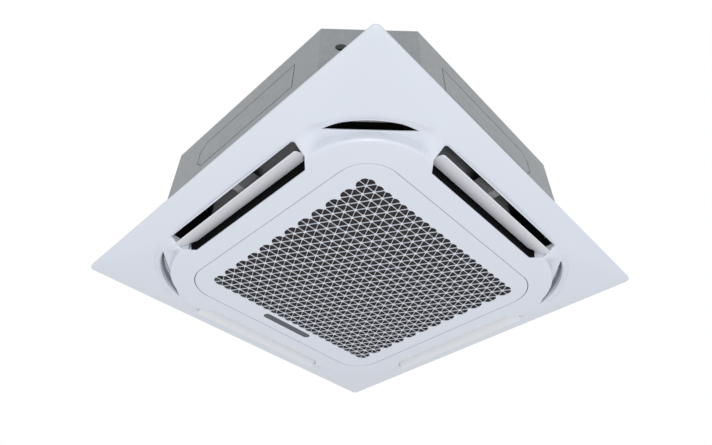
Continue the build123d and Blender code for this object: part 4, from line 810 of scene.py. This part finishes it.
def wall_rings(points, ways, turn, top):
    """Matched rings up an opening's wall, over its top and down to the skin. The top's height comes
    from a point's number and the height of the skin's upper side there."""
    rings = []
    for grow, upper in ((0.0, True), (SKIN, True), (SKIN, False)):
        ring = []
        for number, (point, way) in enumerate(zip(points, ways)):
            here = turned(point + way * grow, turn)
            skin = skin_height(here.x, here.y) + SKIN
            ring.append((here.x, here.y, top(number, skin) if upper else skin - WALL_SUNK))
        rings.append(ring)
    return rings


def outlet_rings(turn):
    """A side outlet: its collar reaches the casing, and on the inner side it only clears the lip."""
    points, ways = outlet_loop()
    rounds = lip_rounds(points)

    def top(number, _):
        if points[number].y > COLLAR_FROM:
            return SEAT
        base = turned(points[number] + ways[number] * rounds[number], turn)
        return skin_height(*base) + max(SKIN, rounds[number]) + INNER_RISE

    return lip_rings(points, ways, rounds, turn) + wall_rings(points, ways, turn, top)


def corner_rings(turn):
    """A corner outlet: a wide lip and a high wall along the arc, a low wall along the chord."""
    points, ways, shares = corner_loop()
    rounds = [CORNER_LIP + (CORNER_LIP_WIDEST - CORNER_LIP) * share for share in shares]

    def top(number, skin):
        return CORNER_ROOF if shares[number] > 0 else max(CORNER_COLLAR, skin + COLLAR_RISE)

    return lip_rings(points, ways, rounds, turn + 0.5) + wall_rings(points, ways, turn + 0.5, top)


def inside_outline(point, outline):
    """Whether a plan point lies inside a convex outline that runs anticlockwise, or close to it."""
    for index, a in enumerate(outline):
        b = outline[(index + 1) % len(outline)]
        along = (b - a).normalized()
        if along.x * (point.y - a.y) - along.y * (point.x - a.x) < -HOLE_MARGIN:
            return False
    return True


def join_rings(points, faces, rings, closed=False):
    """Adds matched rings and the strips between them; gives where each ring starts."""
    starts = []
    for ring in rings:
        starts.append(len(points))
        points += ring
    count = len(rings[0])
    pairs = list(zip(starts, starts[1:])) + ([(starts[-1], starts[0])] if closed else [])
    for low, high in pairs:
        faces += [(low + i, low + (i + 1) % count, high + (i + 1) % count, high + i) for i in range(count)]
    return starts


def in_moat(p):
    return off_diagonal(p.x, p.y) < MOAT_FADE[1]


def level_rings():
    """Plan points over the skin: along its nested outlines, the moats' lines and the edges beside them."""
    made = []
    for number in range(1, (len(OUTLINES) - 1) * RINGS_PER_STEP):
        level = number / RINGS_PER_STEP
        half, radius = square_at(level)
        steps = max(FEWEST_STEPS, round(radius * QUARTER_TURN / SKIN_STEP))
        if WALL_LEVELS[0] < level < WALL_LEVELS[1]:
            steps = WALL_STEPS
        outline = densified(rounded_square(half, radius, steps), STRAIGHT_STEP)
        bare = WALL_BARE[0] < level < WALL_BARE[1]
        made += [p for p in outline if not (bare and in_moat(p))]
    extra = [(MOAT, inset, MOAT_STEPS) for inset in (0.0, MOAT_STEP)]
    extra += [(OUTLINES[2], inset, WALL_STEPS) for inset in WALL_ROUND_RINGS]
    for outline, inset, steps in extra:
        made += [p for p in rounded_square(outline[0] - inset, outline[1] - inset, steps) if in_moat(p)]
    return made


def divided(outline, parts_of):
    """A closed outline with each side divided into the count of parts that its length asks for."""
    made = []
    for index, point in enumerate(outline):
        after = outline[(index + 1) % len(outline)]
        parts = parts_of((after - point).length)
        made += [point.lerp(after, part / parts) for part in range(parts)]
    return made


def densified(outline, spacing):
    return divided(outline, lambda length: max(1, round(length / spacing)))


def skin_side(points, faces, boundary, holes, lift):
    """One side of the skin between rings that are already in the mesh, given as (start, ring)."""
    rings = [boundary] + holes
    plan = [Vector(point[:2]) for _, ring in rings for point in ring]
    index_of = [start + i for start, ring in rings for i in range(len(ring))]
    local = index_rings([len(ring) for _, ring in rings])
    outlines = [[plan[index] for index in ring] for ring in local[1:]]
    boxes = [(min(p.x for p in o) - HOLE_BOX, max(p.x for p in o) + HOLE_BOX,
              min(p.y for p in o) - HOLE_BOX, max(p.y for p in o) + HOLE_BOX) for o in outlines]
    reach = max(plan[index].x for index in local[0]) - RIM_MARGIN
    for point in level_rings():
        near_hole = any(west < point.x < east and south < point.y < north and inside_outline(point, outline)
                        for (west, east, south, north), outline in zip(boxes, outlines))
        if not near_hole and max(abs(point.x), abs(point.y)) < reach:
            plan.append(point)
            index_of.append(len(points))
            points.append((point.x, point.y, skin_height(point.x, point.y) + lift))
    for face in triangulated(plan, local, [local[0]]):
        faces.append(tuple(index_of[index] for index in face))


def square_ring(half, radius, height):
    return raised(densified(rounded_square(half, radius), RING_STEP), height)


def edge_rings(half, radius, height, rounding, way):
    """Rings over a rounded edge of the skin; way is 1 where the skin lies outside the edge, else -1."""
    rings = [square_ring(half + way * rounding, radius + way * rounding, on_skin(0))]
    for step in range(1, LIP_STEPS + 1):
        angle = math.pi / 2 * step / LIP_STEPS
        back = way * rounding * (1 - math.sin(angle))
        rings.append(square_ring(half + back, radius + back, height + rounding * (1 - math.cos(angle))))
    return rings


def octagon(inset):
    """Corners of the casing's plan, drawn in."""
    half = CASING_HALF - inset
    leg = half - CASING_CHAMFER + inset * (2 - math.sqrt(2))
    corners = []
    for turn in range(4):
        corners += [turned(Vector((half, leg)), turn), turned(Vector((leg, half)), turn)]
    return corners


def on_skin(rise):
    return lambda p: skin_height(p.x, p.y) + rise


def seat_foot(p):
    """Lower edge of the seat's walls: in the skin, but at the roof of a corner outlet."""
    out = (abs(p.x) + abs(p.y)) / math.sqrt(2)
    over_outlet = out > CORNER_CHORD and off_diagonal(p.x, p.y) < CORNER_ARC * SEAT_GAP
    return CORNER_ROOF if over_outlet else skin_height(p.x, p.y) + SKIN / 2


def add_block(points, faces, low, high):
    """A box between two corners."""
    start = len(points)
    points += [(x, y, z) for x in (low[0], high[0]) for y in (low[1], high[1]) for z in (low[2], high[2])]
    faces += [tuple(start + index for index in face) for face in
              ((0, 1, 3, 2), (4, 6, 7, 5), (0, 4, 5, 1), (2, 3, 7, 6), (0, 2, 6, 4), (1, 5, 7, 3))]


def add_lugs(points, faces):
    """The lugs in the pocket that hold the grille's hinge pins."""
    for side in (-1, 1):
        for near, far in ((-LUG_FAR, -LUG_NEAR), (LUG_NEAR, LUG_FAR)):
            add_block(points, faces, (side * HINGE_X + near, LUG_FROM, LUG_LOW),
                      (side * HINGE_X + far, POCKET[0][0] + SKIN / 2, LUG_HIGH))


def make_panel(finishes):
    """The panel's moulding: skin, rim, outlets with their collars, the grille's pocket and the seat."""
    points, faces = [], []

    half, radius, height = OUTLINES[0]
    rim = edge_rings(half, radius, height, RIM_ROUND, -1)
    rim += [square_ring(half, radius, 0.0), square_ring(half - SKIN, radius - SKIN, 0.0),
            square_ring(half - SKIN, radius - SKIN, on_skin(SKIN))]
    rim_starts = join_rings(points, faces, rim)

    half, radius, height = OUTLINES[-1]
    pocket = edge_rings(half, radius, height, GRILLE_LIP, 1)
    pocket += [square_ring(half, radius, height + SKIN), square_ring(*POCKET[0], on_skin(SKIN)),
               square_ring(*POCKET[0], POCKET_TOP), square_ring(*INTAKE[0], POCKET_TOP),
               square_ring(*INTAKE[0], INTAKE_TOP), square_ring(*INTAKE[1], INTAKE_TOP),
               square_ring(*INTAKE[1], POCKET_TOP + SKIN), square_ring(*POCKET[1], POCKET_TOP + SKIN),
               square_ring(*POCKET[1], on_skin(SKIN))]
    pocket_starts = join_rings(points, faces, pocket)

    lower_holes, upper_holes = [(pocket_starts[0], pocket[0])], [(pocket_starts[-1], pocket[-1])]
    for turn in range(4):
        for rings in (outlet_rings(turn), corner_rings(turn)):
            starts = join_rings(points, faces, rings)
            lower_holes.append((starts[0], rings[0]))
            upper_holes.append((starts[-1], rings[-1]))
    skin_side(points, faces, (rim_starts[0], rim[0]), lower_holes, 0.0)
    skin_side(points, faces, (rim_starts[-1], rim[-1]), upper_holes, SKIN)

    seat = [(0.0, seat_foot), (0.0, SEAT), (SEAT_WIDTH, SEAT), (SEAT_WIDTH, seat_foot),
            (SEAT_WIDTH - SKIN, seat_foot), (SEAT_WIDTH - SKIN, SEAT - SKIN), (SKIN, SEAT - SKIN),
            (SKIN, seat_foot)]
    seat_rings = [raised(divided(octagon(inset), lambda _: SEAT_PARTS), height) for inset, height in seat]
    join_rings(points, faces, seat_rings, closed=True)

    add_lugs(points, faces)
    piece = link_mesh("panel_moulding", points, faces, finishes, "root", "panel_white")
    smooth(piece)
    return piece


# ---------------------------------------------------------------- foam, also painted shade
# A span is a lining's reach outwards from the fan's axis, then its lower and upper edge.
END_FOAM = 1.0                           # thickness of the lining
END_FOAM_SPAN = (360.0, 408.5, -12.5, 9.5)       # on the outlets' end walls
PAN_FOAM_SPAN = (342.5, 393.5, 10.5, 69.5)       # on the ends of the drain pan's ducts
DUCT_FOAM_AT = 426.0                     # inner wall of the corner ducts, along the diagonal
DUCT_FOAM_HALF = 64.0                    # half their length
DUCT_FOAM_HEIGHTS = (10.5, 69.5)
DUCT_END_FOAM = (428.0, 458.0)           # reach of the linings across the ducts' ends
PAN_SKIRT = (440.0, 478.0, 8.8, 9.8)     # under the pan beside a corner duct, along the diagonal
PAN_SKIRT_HALF = 115.0


def add_turned_block(points, faces, turns, low, high):
    """A box between two corners, turned in plan by quarter turns."""
    begin = len(points)
    add_block(points, faces, low, high)
    for index in range(begin, len(points)):
        x, y, z = points[index]
        place = turned(Vector((x, y)), turns)
        points[index] = (place.x, place.y, z)


def make_foam_and_painted_shade(finishes):
    """Black lining at the ends of the side outlets and in the corner ducts: thin sheets of near-black foam
    that also paint the shade deep inside them.
    """
    points, faces = [], []
    low, high = DUCT_FOAM_HEIGHTS
    for turn in range(4):
        for side in (-1, 1):
            start, end = sorted((side * OUTLET_HALF, side * (OUTLET_HALF - END_FOAM)))
            for inner, outer, bottom, top in (END_FOAM_SPAN, PAN_FOAM_SPAN):
                add_turned_block(points, faces, turn, (start, inner, bottom), (end, outer, top))
        diagonal = turn + 0.5
        add_turned_block(points, faces, diagonal, (DUCT_FOAM_AT, -DUCT_FOAM_HALF, low),
                         (DUCT_FOAM_AT + END_FOAM, DUCT_FOAM_HALF, high))
        for side in (-1, 1):
            start, end = sorted((side * DUCT_FOAM_HALF, side * (DUCT_FOAM_HALF - END_FOAM)))
            add_turned_block(points, faces, diagonal, (DUCT_END_FOAM[0], start, low),
                             (DUCT_END_FOAM[1], end, high))
        for side in (-1, 1):
            start, end = sorted((side * DUCT_FOAM_HALF, side * PAN_SKIRT_HALF))
            inner, outer, bottom, top = PAN_SKIRT
            add_turned_block(points, faces, diagonal, (inner, start, bottom), (outer, end, top))
    # near-black foam sheets that stand partly for painted shade in the ducts
    return link_mesh("outlet_foam_and_painted_shade", points, faces, finishes, "root", "dark_foam")


def smooth(piece):
    """Joins touching rings, turns the faces outwards and shades them smooth up to an angle."""
    work = bmesh.new()
    work.from_mesh(piece.data)
    bmesh.ops.remove_doubles(work, verts=work.verts, dist=WELD)
    bmesh.ops.recalc_face_normals(work, faces=work.faces)
    for face in work.faces:
        face.smooth = True
    for edge in work.edges:
        edge.smooth = len(edge.link_faces) == 2 and edge.calc_face_angle() < math.radians(SMOOTH_LIMIT)
    work.to_mesh(piece.data)
    work.free()


# ---------------------------------------------------------------- the scene
bpy.context.scene.view_settings.view_transform = "Standard"
make_camera()
make_floor()
make_world()
area_light("key", KEY_PLACE, KEY_AIM, KEY_SIZE, KEY_POWER)
finishes = make_materials()
dress_nodes(finishes)
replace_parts(make_grille(finishes), "grille")
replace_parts(make_panel(finishes), "panel_frame")
make_foam_and_painted_shade(finishes)
